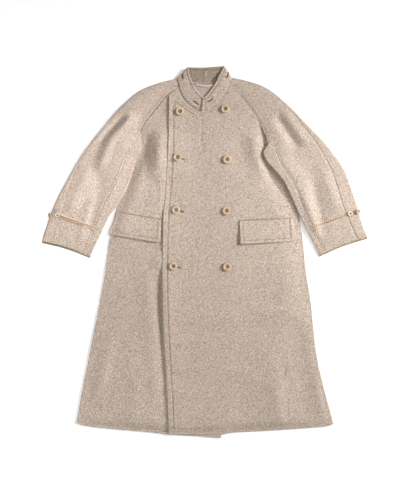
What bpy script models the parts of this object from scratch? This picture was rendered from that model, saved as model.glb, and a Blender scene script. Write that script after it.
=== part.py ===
"""Long double-breasted coat with a mandarin collar and raglan sleeves, buttoned and laid flat.

The coat lies face up on its back with the collar toward +Y. Left and right are as seen from
above. Lengths in the tables are millimetres from the middle of the coat's outline.
"""
import math
from collections import namedtuple

import bmesh
import bpy
from mathutils import Matrix, Vector
from mathutils.bvhtree import BVHTree

MM = 0.001

# Cloth and the way its layers lie
CLOTH = 2.2
COLLAR_CLOTH = 2.6
FLAP_CLOTH = 2.8
LINING_CLOTH = 1.0
TAPE_CLOTH = 1.2
SEAM_GAP = 0.7
LAYER_GAP = 0.3
TIP_GAP = 1.0
SIDE_LAY = CLOTH + LAYER_GAP
FRONT_LAY = 4.3
SIDE_ROLL = 32.0
LAP_RISE = CLOTH + 1.3
LAP_RAMP = 64.0
LAP_START = 10.0
LIFT_REACH = 52.0
BODY_LOFT = 7.0
LOFT_SIDE = 50.0
LOFT_HEM = 36.0
LOFT_FLARE = 90.0
FLARE_LEFT = 60.0
FLARE_RIGHT = -180.0
FLARE_RAMP = 120.0
LOFT_TOP = 430.0
LOFT_FADE = 130.0
FOLD_HEM = 30.0
COVERED_SHARE = 0.5
COVER_START = 10.0
COVER_RAMP = 40.0
SLEEVE_ROUND = 6.0
RIDE_START = 95.0
RIDE_RAMP = 60.0
THIN_REACH = 95.0
CROWN_END = 14.8
CROWN_FADE = 4.0
STEP_ROWS = 1.8
FOLD_MARGIN = 22.0
CUFF_BOW = 4.5
FRONT_COLUMNS = 22
SIDE_ROWS = 20
BACK_COLUMNS = 8
SLEEVE_COLUMNS = 8
FLOOR_COLUMNS = 5
TURN_ANGLES = (0.8, 1.57, 2.34)

# Buttons and loops
FRONT_BUTTON = 25.5
CUFF_BUTTON = 15.5
CORD = 4.4

Point = namedtuple("Point", "x y")
Fold = namedtuple("Fold", "x0 y0 x1 y1 width height")
Sleeve = namedtuple("Sleeve", "outer_x outer_y inner_x inner_y over_seam under_seam ride")
Section = namedtuple("Section", "station outer inner over_seam under_seam ride")
Shape = namedtuple("Shape", "fold_step crown lean edge_thin")
Loft = namedtuple("Loft", "station height")
Lift = namedtuple("Lift", "y height")
Band = namedtuple("Band", "seam_x seam_y top_x top_y lay stand")
Spot = namedtuple("Spot", "x y tilt")
Ring = namedtuple("Ring", "radius height")

# Sleeves, a row for each section from the neck down to the cuff
RAGLAN_ROWS = 5
TIP_ROW = 6
CUFF_ROW = 14
SLEEVE_LOFT = [Loft(0, 5.5), Loft(1, 8.5), Loft(3, 11.0), Loft(10, 11.0), Loft(14, 7.5)]
LEFT_SHAPE = Shape(3.0, 6.0, 0.62, 0.45)
RIGHT_SHAPE = Shape(8.0, 0.0, 1.0, 0.2)
LEFT_SLEEVE = [
    Sleeve(-84, 520, -79, 501, 7, 0, 0),
    Sleeve(-144, 504, -114, 468, 7, 0, 0),
    Sleeve(-190, 484, -140, 437, 7, 0, 0),
    Sleeve(-234, 450, -163, 408, 7, 0, 0),
    Sleeve(-270, 414, -180, 386, 7, 0, 0),
    Sleeve(-303, 374, -194, 352, 7, 0, 0),
    Sleeve(-333, 338, -190, 303, 7, 28, 7.4),
    Sleeve(-360, 302, -202, 284, 7, 30, 7.6),
    Sleeve(-388, 258, -216, 238, 8, 34, 7.6),
    Sleeve(-412, 214, -236, 182, 13, 40, 7.6),
    Sleeve(-436, 170, -262, 138, 22, 40, 7.0),
    Sleeve(-456, 126, -286, 104, 30, 31, 3.0),
    Sleeve(-470, 86, -308, 58, 29, 25, 0.5),
    Sleeve(-480, 56, -326, 22, 29, 20, 0),
    Sleeve(-487, 33, -342, -13, 28, 15, 0),
]
RIGHT_SLEEVE = [
    Sleeve(85, 523, 81, 505, 7, 0, 0),
    Sleeve(150, 507, 110, 465, 7, 0, 0),
    Sleeve(195, 486, 137, 427, 7, 0, 0),
    Sleeve(240, 450, 158, 400, 8, 0, 0),
    Sleeve(279, 414, 173, 372, 10, 0, 0),
    Sleeve(308, 382, 190, 326, 14, 0, 0),
    Sleeve(345, 345, 176, 300, 20, 38, 7.4),
    Sleeve(375, 310, 186, 272, 27, 36, 7.6),
    Sleeve(402, 274, 206, 249, 34, 28, 7.6),
    Sleeve(424, 236, 236, 212, 38, 24, 7.6),
    Sleeve(440, 192, 256, 174, 41, 22, 7.6),
    Sleeve(456, 144, 278, 124, 42, 19, 7.0),
    Sleeve(468, 102, 301, 76, 36, 21, 2.5),
    Sleeve(479, 68, 323, 34, 32, 17, 0.5),
    Sleeve(489, 45, 344, -9, 30, 15, 0),
]

# Side seams from the hem up to where the sleeve covers them
LEFT_SIDE = [
    Point(-384, -513), Point(-366, -414), Point(-348, -324), Point(-330, -234), Point(-312, -144),
    Point(-297, -54), Point(-285, 36), Point(-266, 126), Point(-246, 182), Point(-226, 238),
    Point(-209, 284),
]
RIGHT_SIDE = [
    Point(387, -515), Point(360, -414), Point(339, -324), Point(327, -234), Point(318, -144),
    Point(304, -54), Point(295, 36), Point(281, 126), Point(263, 174), Point(243, 212),
    Point(214, 249), Point(194, 272),
]

# Front edges, hems and necklines
LAP_EDGE = [
    Point(-107, -547), Point(-111, -441), Point(-118, -321), Point(-123, -225), Point(-126, -129),
    Point(-126.5, -36), Point(-125, 45), Point(-123, 113), Point(-117, 180), Point(-112, 260),
    Point(-108.5, 336), Point(-107, 468),
]
LAP_LIFT = [
    Lift(-547, 1.6), Lift(-420, 2.6), Lift(-300, 4.4), Lift(-160, 8.0), Lift(-90, 5.8), Lift(-42, 1.5),
    Lift(60, 0.0), Lift(250, 0.3), Lift(350, 1.2), Lift(420, 2.8), Lift(468, 1.2),
]
LAP_HEM = [
    Point(-107, -547), Point(48, -546), Point(81, -541), Point(198, -535), Point(340, -525),
    Point(374, -521), Point(387, -515),
]
LAP_NECK = [
    Point(-107, 468), Point(-85, 465), Point(-62, 455), Point(-43, 439), Point(-26, 429.5),
    Point(-10, 419.5), Point(18.6, 429.6), Point(40.2, 445), Point(56.2, 465), Point(69.4, 485),
    Point(81, 505),
]
UNDER_EDGE = [Point(50, -558), Point(60, -300), Point(80, 100), Point(96, 434)]
UNDER_HEM = [
    Point(-384, -513), Point(-330, -525), Point(-156, -541), Point(-108, -547), Point(-20, -552),
    Point(50, -558),
]
UNDER_NECK = [
    Point(-79, 501), Point(-69, 473.5), Point(-58.6, 455.6), Point(-44, 441.4), Point(-27, 431.2),
    Point(-10, 419), Point(14, 415), Point(50, 422), Point(96, 434),
]
BACK_HEM = [Point(-384, -513), Point(-200, -533), Point(0, -540), Point(200, -531), Point(387, -515)]
BACK_NECK = [
    Point(-79, 501), Point(-60, 511), Point(-20, 508), Point(2, 507), Point(25, 509),
    Point(60, 513), Point(81, 505),
]

# Stand collar, a row for each section from the left end round the back to the right end
COLLAR = [
    Band(-7, 425, 3, 463, 4.4, 0.3),
    Band(-26, 433, -13, 466, 4.4, 0.8),
    Band(-43, 443, -25, 474, 4.4, 1.2),
    Band(-57, 457, -34, 485, 4.6, 1.8),
    Band(-67, 474, -39, 505, 5.2, 2.5),
    Band(-74, 493, -44, 530, 6.0, 3.4),
    Band(-80, 516, -48, 550, 5.2, 4.4),
    Band(-81, 519, -49, 553, 3.0, 5.4),
    Band(-80, 518, -48, 553, 0.8, 6.4),
    Band(-60, 513, -33, 552.5, 0, 7.2),
    Band(-20, 510, -12, 552, 0, 7.6),
    Band(2, 509, 5, 552.5, 0, 7.6),
    Band(25, 511, 24, 554, 0, 7.6),
    Band(61, 516, 44, 555.5, 0, 7.2),
    Band(81, 520, 57, 556.5, 0.8, 6.4),
    Band(82, 521, 58, 556.5, 3.4, 5.0),
    Band(81, 518, 57, 554, 6.0, 4.0),
    Band(75.5, 500, 48, 537, 7.2, 3.0),
    Band(68, 486, 41, 515, 7.6, 2.2),
    Band(55, 466, 31, 497, 7.7, 1.5),
    Band(39, 446, 20, 480, 7.7, 1.0),
    Band(18, 431.5, 8, 469, 7.7, 0.7),
    Band(-9, 421.5, -3, 463, 7.7, 0.4),
]

# Neck lining and hanger loop
LINING_TOP = [Point(-58, 509), Point(-20, 506), Point(2, 505), Point(25, 507), Point(58, 511)]
LINING_FOOT = [Point(-40, 450), Point(-22, 428), Point(0, 420), Point(22, 428), Point(44, 452)]
HANGER_WIDTH = 6.0
HANGER = [Point(-27, 502), Point(-16, 500), Point(5, 496.5), Point(24, 500), Point(36, 504)]

# Pocket flaps, corners in order round the outline from the top left
FLAP_LEFT = [Point(-262, 120), Point(-128, 97), Point(-132, 27), Point(-291, 52)]
FLAP_RIGHT = [Point(103, 94), Point(265, 101), Point(269, 31), Point(107, 22)]
FLAP_CORNER = 9.0
FLAP_COLUMNS = 14
FLAP_DROPS = (0.0, 0.2, 0.4, 0.6, 0.78, 0.88, 0.95, 1.0)
FLAP_REACH = 4.0

# Folds of the laid cloth; a height under zero is a trough
BODY_FOLDS = [
    Fold(-176, 345, -197, 200, 20, -9.5),
    Fold(-142, 348, -155, 210, 13, 5.5),
    Fold(-156, 200, -150, 90, 20, 3.0),
    Fold(126, 345, 150, 222, 16, -7.5),
    Fold(152, 345, 180, 225, 13, 4.0),
    Fold(-172, -70, -150, -420, 20, 2.6),
    Fold(-134, -60, -122, -540, 14, -2.6),
    Fold(-70, -196, 110, -186, 22, 2.4),
    Fold(130, -170, 320, -186, 18, 2.2),
    Fold(-280, -255, -324, -440, 20, 4.6),
    Fold(-200, -330, -216, -520, 24, 3.2),
    Fold(200, -300, 232, -520, 24, 3.2),
    Fold(60, -345, 225, -412, 20, 1.8),
    Fold(322, -200, 366, -490, 18, 3.6),
    Fold(276, -240, 310, -500, 24, -2.2),
    Fold(20, 330, 30, 160, 40, 1.6),
]
LEFT_SLEEVE_FOLDS = [
    Fold(-212, 406, -278, 342, 13, 6.5),
    Fold(-278, 342, -311, 255, 14, 5.5),
    Fold(-250, 404, -322, 330, 15, -4.5),
    Fold(-212, 390, -298, 225, 30, 5.0),
    Fold(-352, 235, -404, 130, 20, 4.6),
    Fold(-306, 215, -356, 50, 16, -4.4),
    Fold(-330, 170, -366, 40, 13, 3.4),
]
RIGHT_SLEEVE_FOLDS = [
    Fold(242, 416, 306, 322, 14, 4.0),
    Fold(216, 406, 277, 316, 14, -6.5),
    Fold(200, 385, 254, 295, 18, 3.0),
    Fold(352, 250, 396, 130, 20, 4.6),
    Fold(322, 205, 360, 60, 16, -4.4),
    Fold(296, 175, 338, 50, 14, 3.4),
]

# Button places; tilt is the lean in degrees toward +X
FRONT_SPOTS = [
    Spot(-74, 421, 0), Spot(-80, 283, 0), Spot(-85, 126, 0), Spot(-93, -42, 0),
    Spot(62, 429, 0), Spot(67, 277, 0), Spot(66, 123, 0), Spot(68, -44, 0),
]
LEFT_CUFF_SPOTS = [Spot(-439, 110, 0), Spot(-460, 110, -62)]
RIGHT_CUFF_SPOTS = [Spot(436, 115, 0), Spot(463, 121, 30)]
LEFT_LOOP = [Point(-329, 73), Point(-439, 110)]
RIGHT_LOOP = [Point(323, 73), Point(436, 115)]
LOOP_EYE = 5.4
LOOP_SPREAD = 0.9
EYE_ANGLES = (2.0, 1.4, 0.7, 0.0, -0.7, -1.4, -2.0)

# Turned outline of a button as shares of its diameter, from the middle of the top
BUTTON_OUTLINE = [
    Ring(0.00, 0.115), Ring(0.20, 0.115), Ring(0.27, 0.165), Ring(0.40, 0.180), Ring(0.48, 0.140),
    Ring(0.50, 0.085), Ring(0.44, 0.015), Ring(0.30, 0.000),
]
TILT_OUT = 1.5
TILT_UP = 1.2
TILT_STATION = 11.5
SHANK_LENGTH = 2.0
SHANK_RADIUS = 0.09


def smooth(t):
    """Ease from 0 to 1."""
    t = min(max(t, 0.0), 1.0)
    return t * t * (3.0 - 2.0 * t)


def distance(a, b):
    """Plan distance between two points."""
    return math.hypot(a[0] - b[0], a[1] - b[1])


def bell(away, width):
    """A soft bump across a line."""
    return math.exp(-(away / width) ** 2)


def between(pairs, at):
    """Value at a place between the (place, value) pairs of a rising table."""
    for (low, start), (high, end) in zip(pairs, pairs[1:]):
        if at <= high:
            share = (max(at, low) - low) / max(high - low, 1e-9)
            return start + (end - start) * share
    return pairs[-1][1]


def dense(points, per_span=10):
    """A smooth path through the points of a table."""
    points = [Vector(tuple(p)) for p in points]
    last = len(points) - 1
    path = []
    for i in range(last):
        before, start = points[max(i - 1, 0)], points[i]
        end, after = points[i + 1], points[min(i + 2, last)]
        for k in range(per_span):
            t = k / per_span
            bend = (2 * start - 2 * end + (end - before + after - start) * 0.5)
            lean = (3 * (end - start) - (end - before) - (after - start) * 0.5)
            path.append(start + (end - before) * 0.5 * t + lean * t ** 2 + bend * t ** 3)
    path.append(points[last])
    return path


def shares(path):
    """Length along the path at each of its points, as a share of the whole."""
    run = [0.0]
    for a, b in zip(path, path[1:]):
        run.append(run[-1] + distance(a, b))
    return [r / run[-1] for r in run]


def at_shares(path, wanted):
    """Points of the path at the wanted shares of its length."""
    run = shares(path)
    found, i = [], 0
    for w in wanted:
        while i < len(run) - 2 and run[i + 1] < w:
            i += 1
        t = (w - run[i]) / max(run[i + 1] - run[i], 1e-9)
        found.append(path[i].lerp(path[i + 1], min(max(t, 0.0), 1.0)))
    return found


def even(points, count):
    """Evenly spaced points along the smooth path of a table."""
    return at_shares(dense(points), [i / count for i in range(count + 1)])


def patch(bottom, top, left, right):
    """Rows of plan points between four edges that meet at the corners."""
    across = [(a + b) / 2 for a, b in zip(shares(bottom), shares(top))]
    upward = [(a + b) / 2 for a, b in zip(shares(left), shares(right))]
    rows = []
    for j, v in enumerate(upward):
        row = []
        for i, u in enumerate(across):
            corners = (bottom[0] * (1 - u) + bottom[-1] * u) * (1 - v)
            corners += (top[0] * (1 - u) + top[-1] * u) * v
            row.append(bottom[i] * (1 - v) + top[i] * v + left[j] * (1 - u) + right[j] * u - corners)
        rows.append(row)
    return rows


def fold_height(folds, x, y):
    """Height that the folds add at a point."""
    total = 0.0
    for f in folds:
        along = Vector((f.x1 - f.x0, f.y1 - f.y0))
        t = Vector((x - f.x0, y - f.y0)).dot(along) / along.length_squared
        foot = min(max(t, 0.0), 1.0)
        away = math.hypot(x - f.x0 - along.x * foot, y - f.y0 - along.y * foot)
        fade = smooth((t + 0.25) / 0.5) * smooth((1.25 - t) / 0.5)
        total += f.height * fade * bell(away, f.width)
    return total


def material(name, colour, roughness):
    """A plain shaded material."""
    made = bpy.data.materials.new(name)
    made.use_nodes = True
    shader = made.node_tree.nodes["Principled BSDF"]
    shader.inputs["Base Color"].default_value = (*colour, 1.0)
    shader.inputs["Roughness"].default_value = roughness
    return made


def add_object(name, mesh, colour, roughness=0.9):
    """Put a mesh into the coat's collection with its own material."""
    item = bpy.data.objects.new(name, mesh)
    item.data.materials.append(material(name + "_material", colour, roughness))
    coat.objects.link(item)
    return item


def cloth(name, rows, thickness, grow, colour):
    """A wall of cloth on a surface given by rows of points; grow is +1 upward and -1 downward.

    Where a row has more points than the row before it, the extra ones fan out from its last point.
    """
    work = bmesh.new()
    verts = [[work.verts.new(Vector(p) * MM) for p in row] for row in rows]
    for low, high in zip(verts, verts[1:]):
        common = min(len(low), len(high))
        for i in range(common - 1):
            work.faces.new((low[i], low[i + 1], high[i + 1], high[i]))
        for i in range(common - 1, len(high) - 1):
            work.faces.new((low[-1], high[i + 1], high[i]))
    bmesh.ops.recalc_face_normals(work, faces=work.faces)
    work.faces.ensure_lookup_table()
    if work.faces[0].normal.z < 0:
        bmesh.ops.reverse_faces(work, faces=work.faces)
    mesh = bpy.data.meshes.new(name)
    work.to_mesh(mesh)
    work.free()
    item = add_object(name, mesh, colour)
    wall = item.modifiers.new("Wall", "SOLIDIFY")
    wall.thickness = thickness * MM
    wall.offset = grow
    wall.use_even_offset = True
    return item


def surface_of(item):
    """A search tree of a finished piece, to lay other pieces on."""
    bpy.context.view_layer.update()
    return BVHTree.FromObject(item, bpy.context.evaluated_depsgraph_get())


def top_of(trees, x, y):
    """Height of the highest cloth at a point."""
    best = 0.0
    for tree in trees:
        hit = tree.ray_cast(Vector((x * MM, y * MM, 1.0)), Vector((0, 0, -1)))[0]
        if hit is not None:
            best = max(best, hit.z / MM)
    return best


def top_near(trees, x, y, radius):
    """Height of the highest cloth within a radius of a point."""
    turns = [math.tau * k / 12 for k in range(12)]
    ring = [top_of(trees, x + radius * math.cos(a), y + radius * math.sin(a)) for a in turns]
    return max(ring + [top_of(trees, x, y)])


def raglan(rows):
    """The seam between a sleeve and the body, from the neck to the underarm."""
    return [Vector((r.inner_x, r.inner_y)) for r in rows[:RAGLAN_ROWS + 1]]


def body_edge(side, rows):
    """Outer edge of a body panel from the hem, past the tip of the underarm, to the neck."""
    tip = Vector((rows[TIP_ROW].inner_x, rows[TIP_ROW].inner_y))
    tip.x -= math.copysign(TIP_GAP, tip.x)
    return even(side, SIDE_ROWS) + [tip] + raglan(rows)[::-1]


def edge_lays(count):
    """Height of a front's underside along its outer edge: low at the side, up at the raglan seam."""
    lays = [SIDE_LAY] * (SIDE_ROWS + 1) + [SIDE_LAY + 0.8]
    return lays + [FRONT_LAY] * (count - len(lays))


def front_swell(p, away, flare_top):
    """Height that the air under a front and its folds add at a point."""
    above = p.y - between(hem_line, p.x)
    reach = LOFT_SIDE + LOFT_FLARE * smooth((flare_top - p.y) / FLARE_RAMP)
    loft = smooth(away / reach) * smooth(above / LOFT_HEM) * smooth((LOFT_TOP - p.y) / LOFT_FADE)
    folds = fold_height(BODY_FOLDS, p.x, p.y) * smooth(away / SIDE_ROLL) * smooth(above / FOLD_HEM)
    return BODY_LOFT * loft + folds


def front_rows(plan, edge, lapped):
    """Heights of a front panel laid on the back; the under front lies lower where it is covered."""
    rows = []
    for row, side, lay in zip(plan, edge, edge_lays(len(edge))):
        heights = []
        for p in row:
            away = distance(p, side)
            z = lay + (FRONT_LAY - lay) * smooth(away / SIDE_ROLL)
            swell = front_swell(p, away, FLARE_RIGHT if lapped else FLARE_LEFT)
            from_lap = p.x - between(lap_line, p.y)
            if lapped:
                z = max(z + swell, SIDE_LAY)
                past = p.x - between(under_line, p.y) - LAP_START
                z += LAP_RISE * (1 - smooth(past / LAP_RAMP))
                z += between(lift_line, p.y) * bell(max(from_lap, 0.0), LIFT_REACH)
            else:
                covered = smooth((from_lap + COVER_START) / COVER_RAMP)
                z = max(z + swell * (1 - covered * (1 - COVERED_SHARE)), SIDE_LAY)
            heights.append((p.x, p.y, z))
        rows.append(heights)
    return rows


def sections(table):
    """The rows of a sleeve's table, and one more half way between two rows except at the notch."""
    outer = dense([r[:2] for r in table], 2)
    made = []
    for k, edge in enumerate(outer):
        low, high = table[k // 2], table[(k + 1) // 2]
        if k == 2 * RAGLAN_ROWS + 1:
            continue
        inner = Vector((low.inner_x + high.inner_x, low.inner_y + high.inner_y)) / 2
        over, under = (low.over_seam + high.over_seam) / 2, (low.under_seam + high.under_seam) / 2
        made.append(Section(k / 2, edge, inner, over, under, (low.ride + high.ride) / 2))
    return made


def sleeve_bottom(row, a, width):
    """Height of a sleeve's underside, which rises where the sleeve lies on the body."""
    return row.ride * smooth((a - (width - RIDE_START)) / RIDE_RAMP)


def sleeve_top(row, a, width, point, folds, shape):
    """Height of a sleeve's upper face."""
    loft = between(SLEEVE_LOFT, row.station)
    opened = row.station < TIP_ROW
    thin = 0.0 if opened else shape.edge_thin * smooth((a - width + THIN_REACH) / THIN_REACH)
    z = sleeve_bottom(row, a, width) + loft * (1 - thin)
    if opened:
        step = shape.fold_step * smooth((row.station - RAGLAN_ROWS + STEP_ROWS) / STEP_ROWS)
        z += (FRONT_LAY + CLOTH + step - loft) * smooth((a / width - 0.35) / 0.65)
    crown = math.sin(math.pi * (a / width) ** shape.lean) * smooth(row.station / 3)
    crown *= smooth((CROWN_END - row.station) / CROWN_FADE)
    z += shape.crown * crown * (0.5 if opened else 1.0)
    fade = smooth((a - SLEEVE_ROUND) / FOLD_MARGIN) * smooth((width - a) / FOLD_MARGIN)
    return z + fold_height(folds, point.x, point.y) * fade


def cuff_bow(row, share):
    """The cuff edge curves up a little in its middle."""
    return CUFF_BOW * math.sin(math.pi * share) if row.station == CUFF_ROW else 0.0


def sleeve_front_rows(rows, folds, shape):
    """Upper face of a sleeve front between the over-arm seam and the inner or raglan seam."""
    made = []
    for row in rows:
        width = (row.inner - row.outer).length
        start = row.over_seam + SEAM_GAP
        end = width - row.under_seam - SEAM_GAP
        section = []
        for k in range(SLEEVE_COLUMNS + 1):
            a = start + (end - start) * k / SLEEVE_COLUMNS
            p = row.outer.lerp(row.inner, a / width)
            z = sleeve_top(row, a, width, p, folds, shape)
            section.append((p.x, p.y + cuff_bow(row, a / width), z))
        made.append(section)
    return made


def sleeve_back_rows(rows, folds, shape):
    """Outside of a sleeve back: round the outer edge, below, and round the inner edge."""
    made = []
    for row in rows:
        width = (row.inner - row.outer).length
        closed = row.station >= TIP_ROW
        round_off = min(SLEEVE_ROUND, width * 0.3)
        shelf = [(row.over_seam, 1), (round_off, 1)]
        turn = [(round_off * (1 - math.sin(t)), 0.5 + 0.5 * math.cos(t)) for t in TURN_ANGLES]
        floor_end = width - round_off if closed else width - SEAM_GAP
        floor_run = floor_end - round_off
        floor = [(round_off + floor_run * k / FLOOR_COLUMNS, 0) for k in range(FLOOR_COLUMNS + 1)]
        path = shelf + turn + floor
        if closed:
            path += [(width - a, 1 - lift) for a, lift in turn]
            path += [(width - round_off, 1), (width - row.under_seam, 1)]
        section = []
        for a, lift in path:
            p = row.outer.lerp(row.inner, a / width)
            low = sleeve_bottom(row, a, width)
            high = sleeve_top(row, a, width, p, folds, shape)
            section.append((p.x, p.y + cuff_bow(row, a / width), low + (high - low) * lift))
        made.append(section)
    return made


def collar_rows():
    """Middle of the collar band from its seam to its top edge, which stands up a little."""
    rows = []
    for low, high in zip(dense([b[:2] + (b.lay, b.stand) for b in COLLAR], 2),
                         dense([b[2:4] + (b.lay, b.stand) for b in COLLAR], 2)):
        lift = max(low.z, 0.0) + COLLAR_CLOTH / 2
        rows.append([(*low.xy.lerp(high.xy, k / 3), lift + low.w * k / 3)
                     for k in range(4)])
    return rows


def flap_rows(corners, trees):
    """Underside of a pocket flap laid on its front, with rounded lower corners."""
    top_left, top_right, low_right, low_left = [Vector(tuple(c)) for c in corners]
    depth = (top_left - low_left).length
    rows = []
    for drop in FLAP_DROPS:
        bend = max(0.0, 1 - (1 - drop) * depth / FLAP_CORNER)
        inset = FLAP_CORNER * (1 - math.sqrt(1 - bend ** 2))
        start, end = top_left.lerp(low_left, drop), top_right.lerp(low_right, drop)
        run = (end - start).length
        row = []
        for i in range(FLAP_COLUMNS + 1):
            share = inset / run + (1 - 2 * inset / run) * i / FLAP_COLUMNS
            p = start.lerp(end, share)
            z = top_near(trees, p.x, p.y, FLAP_REACH) + LAYER_GAP
            row.append((p.x, p.y, max(z, SIDE_LAY + CLOTH + LAYER_GAP)))
        rows.append(row)
    return rows


def button(name, spot, diameter, lift, trees, colour):
    """A turned button on its thread shank."""
    profile = [(r.radius * diameter, r.height * diameter + lift) for r in BUTTON_OUTLINE]
    profile += [(SHANK_RADIUS * diameter, lift), (SHANK_RADIUS * diameter, 0.0), (0.0, 0.0)]
    work = bmesh.new()
    verts = [work.verts.new(Vector((r, 0, z)) * MM) for r, z in profile]
    for a, b in zip(verts, verts[1:]):
        work.edges.new((a, b))
    mesh = bpy.data.meshes.new(name)
    work.to_mesh(mesh)
    work.free()
    item = add_object(name, mesh, colour, 0.45)
    lathe = item.modifiers.new("Turn", "SCREW")
    lathe.axis = "Z"
    lathe.angle = math.tau
    lathe.steps = 16
    lathe.render_steps = 16
    lathe.use_merge_vertices = True
    lathe.merge_threshold = 0.00001
    lathe.use_normal_calculate = True
    seat = top_near(trees, spot.x, spot.y, SHANK_RADIUS * diameter + 1.0) + LAYER_GAP
    item.matrix_world = Matrix.Translation(Vector((spot.x, spot.y, seat)) * MM)
    return item


def tilted_button(name, spot, diameter, trees, colour):
    """A button on the outer edge of a cuff, leaning outward."""
    item = button(name, spot, diameter, SHANK_LENGTH, trees, colour)
    lean = Matrix.Rotation(math.radians(spot.tilt), 4, "Y")
    out = 1 if spot.tilt > 0 else -1
    height = between(SLEEVE_LOFT, TILT_STATION) + TILT_UP
    place = Vector((spot.x + out * TILT_OUT, spot.y, height)) * MM
    item.matrix_world = Matrix.Translation(place) @ lean
    return item


def cuff_loop(name, path, trees, colour):
    """One cord laid double from the sleeve seam and round the button's shank."""
    start, end = Vector(tuple(path[0])), Vector(tuple(path[-1]))
    along = (end - start).normalized()
    side = Vector((-along.y, along.x))
    spacing = CORD / 2 + LAYER_GAP
    run = (end - start).length
    strand = [(run * k / 9, spacing) for k in range(8)]
    strand += [(run - LOOP_EYE - CORD * 0.7, spacing + LOOP_SPREAD)]
    turn = [(run + LOOP_EYE * math.cos(t), LOOP_EYE * math.sin(t)) for t in EYE_ANGLES]
    back = [(a, -s) for a, s in strand[::-1]]
    line = bpy.data.curves.new(name, "CURVE")
    line.dimensions = "3D"
    line.bevel_depth = CORD / 2 * MM
    line.bevel_resolution = 1
    line.use_fill_caps = True
    points = strand + turn + back
    spline = line.splines.new("POLY")
    spline.points.add(len(points) - 1)
    for knot, (a, s) in zip(spline.points, points):
        p = start + along * a + side * s
        z = top_near(trees, p.x, p.y, CORD / 2) + SEAM_GAP + CORD / 2
        knot.co = (p.x * MM, p.y * MM, z * MM, 1.0)
    item = bpy.data.objects.new(name, line)
    item.data.materials.append(material(name + "_material", colour, 0.7))
    coat.objects.link(item)
    return item


def strip_rows(points, width, lay):
    """A narrow tape along a path."""
    path = even(points, 8)
    rows = []
    for i, p in enumerate(path):
        before, after = path[max(i - 1, 0)], path[min(i + 1, len(path) - 1)]
        along = (after - before).normalized()
        side = Vector((-along.y, along.x)) * width / 2
        rows.append([(p.x - side.x, p.y - side.y, lay), (p.x + side.x, p.y + side.y, lay)])
    return rows


for old in list(bpy.data.objects):
    bpy.data.objects.remove(old, do_unlink=True)
coat = bpy.data.collections.new("mandarin_collar_coat")
bpy.context.scene.collection.children.link(coat)

WOOL = (0.52, 0.43, 0.35)
INSIDE = (0.60, 0.48, 0.42)
HORN = (0.70, 0.50, 0.32)
PEACH = (0.72, 0.47, 0.30)

# Back panel, flat on the surface below
left_edge = body_edge(LEFT_SIDE, LEFT_SLEEVE)
right_edge = body_edge(RIGHT_SIDE, RIGHT_SLEEVE)
back_plan = patch(even(BACK_HEM, BACK_COLUMNS), even(BACK_NECK, BACK_COLUMNS), left_edge, right_edge)
back = cloth("back", [[(p.x, p.y, 0) for p in row] for row in back_plan], CLOTH, 1, WOOL)

# Fronts
hem_line = [(p.x, p.y) for p in dense(UNDER_HEM[:4]) + dense(LAP_HEM)]
lap_line = [(p.y, p.x) for p in dense(LAP_EDGE)]
under_line = [(p.y, p.x) for p in dense(UNDER_EDGE)]
lift_line = [(p.x, p.y) for p in dense(LAP_LIFT)]
lap_edge = at_shares(dense(LAP_EDGE), shares(right_edge))
over_plan = patch(even(LAP_HEM, FRONT_COLUMNS), even(LAP_NECK, FRONT_COLUMNS), lap_edge, right_edge)
front_over = cloth("front_over", front_rows(over_plan, right_edge, True), CLOTH, 1, WOOL)
under_edge = at_shares(dense(UNDER_EDGE), shares(left_edge))
under_plan = patch(even(UNDER_HEM, FRONT_COLUMNS), even(UNDER_NECK, FRONT_COLUMNS), left_edge, under_edge)
front_under = cloth("front_under", front_rows(under_plan, left_edge, False), CLOTH, 1, WOOL)

# Sleeves
sleeve_parts = {}
for label, table, folds, shape in (("left", LEFT_SLEEVE, LEFT_SLEEVE_FOLDS, LEFT_SHAPE),
                                   ("right", RIGHT_SLEEVE, RIGHT_SLEEVE_FOLDS, RIGHT_SHAPE)):
    rows = sections(table)
    upper = cloth("sleeve_front_" + label, sleeve_front_rows(rows, folds, shape), CLOTH, -1, WOOL)
    lower = cloth("sleeve_back_" + label, sleeve_back_rows(rows, folds, shape), CLOTH, -1, WOOL)
    sleeve_parts[label] = [surface_of(upper), surface_of(lower)]

# Collar, neck lining and hanger loop
cloth("collar", collar_rows(), COLLAR_CLOTH, 0, WOOL)
lining_top, lining_foot = even(LINING_TOP, 8), even(LINING_FOOT, 8)
lining_lay = CLOTH + LAYER_GAP
lining_rows = [[(*foot.lerp(top, k / 4), lining_lay) for foot, top in zip(lining_foot, lining_top)]
               for k in range(5)]
cloth("neck_lining", lining_rows, LINING_CLOTH, 1, INSIDE)
hanger_lay = lining_lay + LINING_CLOTH + LAYER_GAP
cloth("hanger_loop", strip_rows(HANGER, HANGER_WIDTH, hanger_lay), TAPE_CLOTH, 1, INSIDE)

# Pocket flaps
fronts = [surface_of(front_over), surface_of(front_under)]
cloth("flap_left", flap_rows(FLAP_LEFT, fronts), FLAP_CLOTH, 1, WOOL)
cloth("flap_right", flap_rows(FLAP_RIGHT, fronts), FLAP_CLOTH, 1, WOOL)

# Buttons and cuff loops
for number, spot in enumerate(FRONT_SPOTS, 1):
    button(f"button_front_{number}", spot, FRONT_BUTTON, SHANK_LENGTH, fronts, HORN)
for label, spots, path in (("left", LEFT_CUFF_SPOTS, LEFT_LOOP), ("right", RIGHT_CUFF_SPOTS, RIGHT_LOOP)):
    trees = sleeve_parts[label]
    cuff_loop("cuff_loop_" + label, path, trees, PEACH)
    button(f"button_cuff_{label}_1", spots[0], CUFF_BUTTON, CORD + 1.2, trees, HORN)
    tilted_button(f"button_cuff_{label}_2", spots[1], CUFF_BUTTON, trees, HORN)
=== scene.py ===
"""Mandarin collar coat laid flat, face up: fine cloth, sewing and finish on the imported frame."""

import math
from collections import namedtuple

import bmesh
import bpy
import numpy as np
from mathutils import Matrix, Vector
from mathutils.bvhtree import BVHTree


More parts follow.
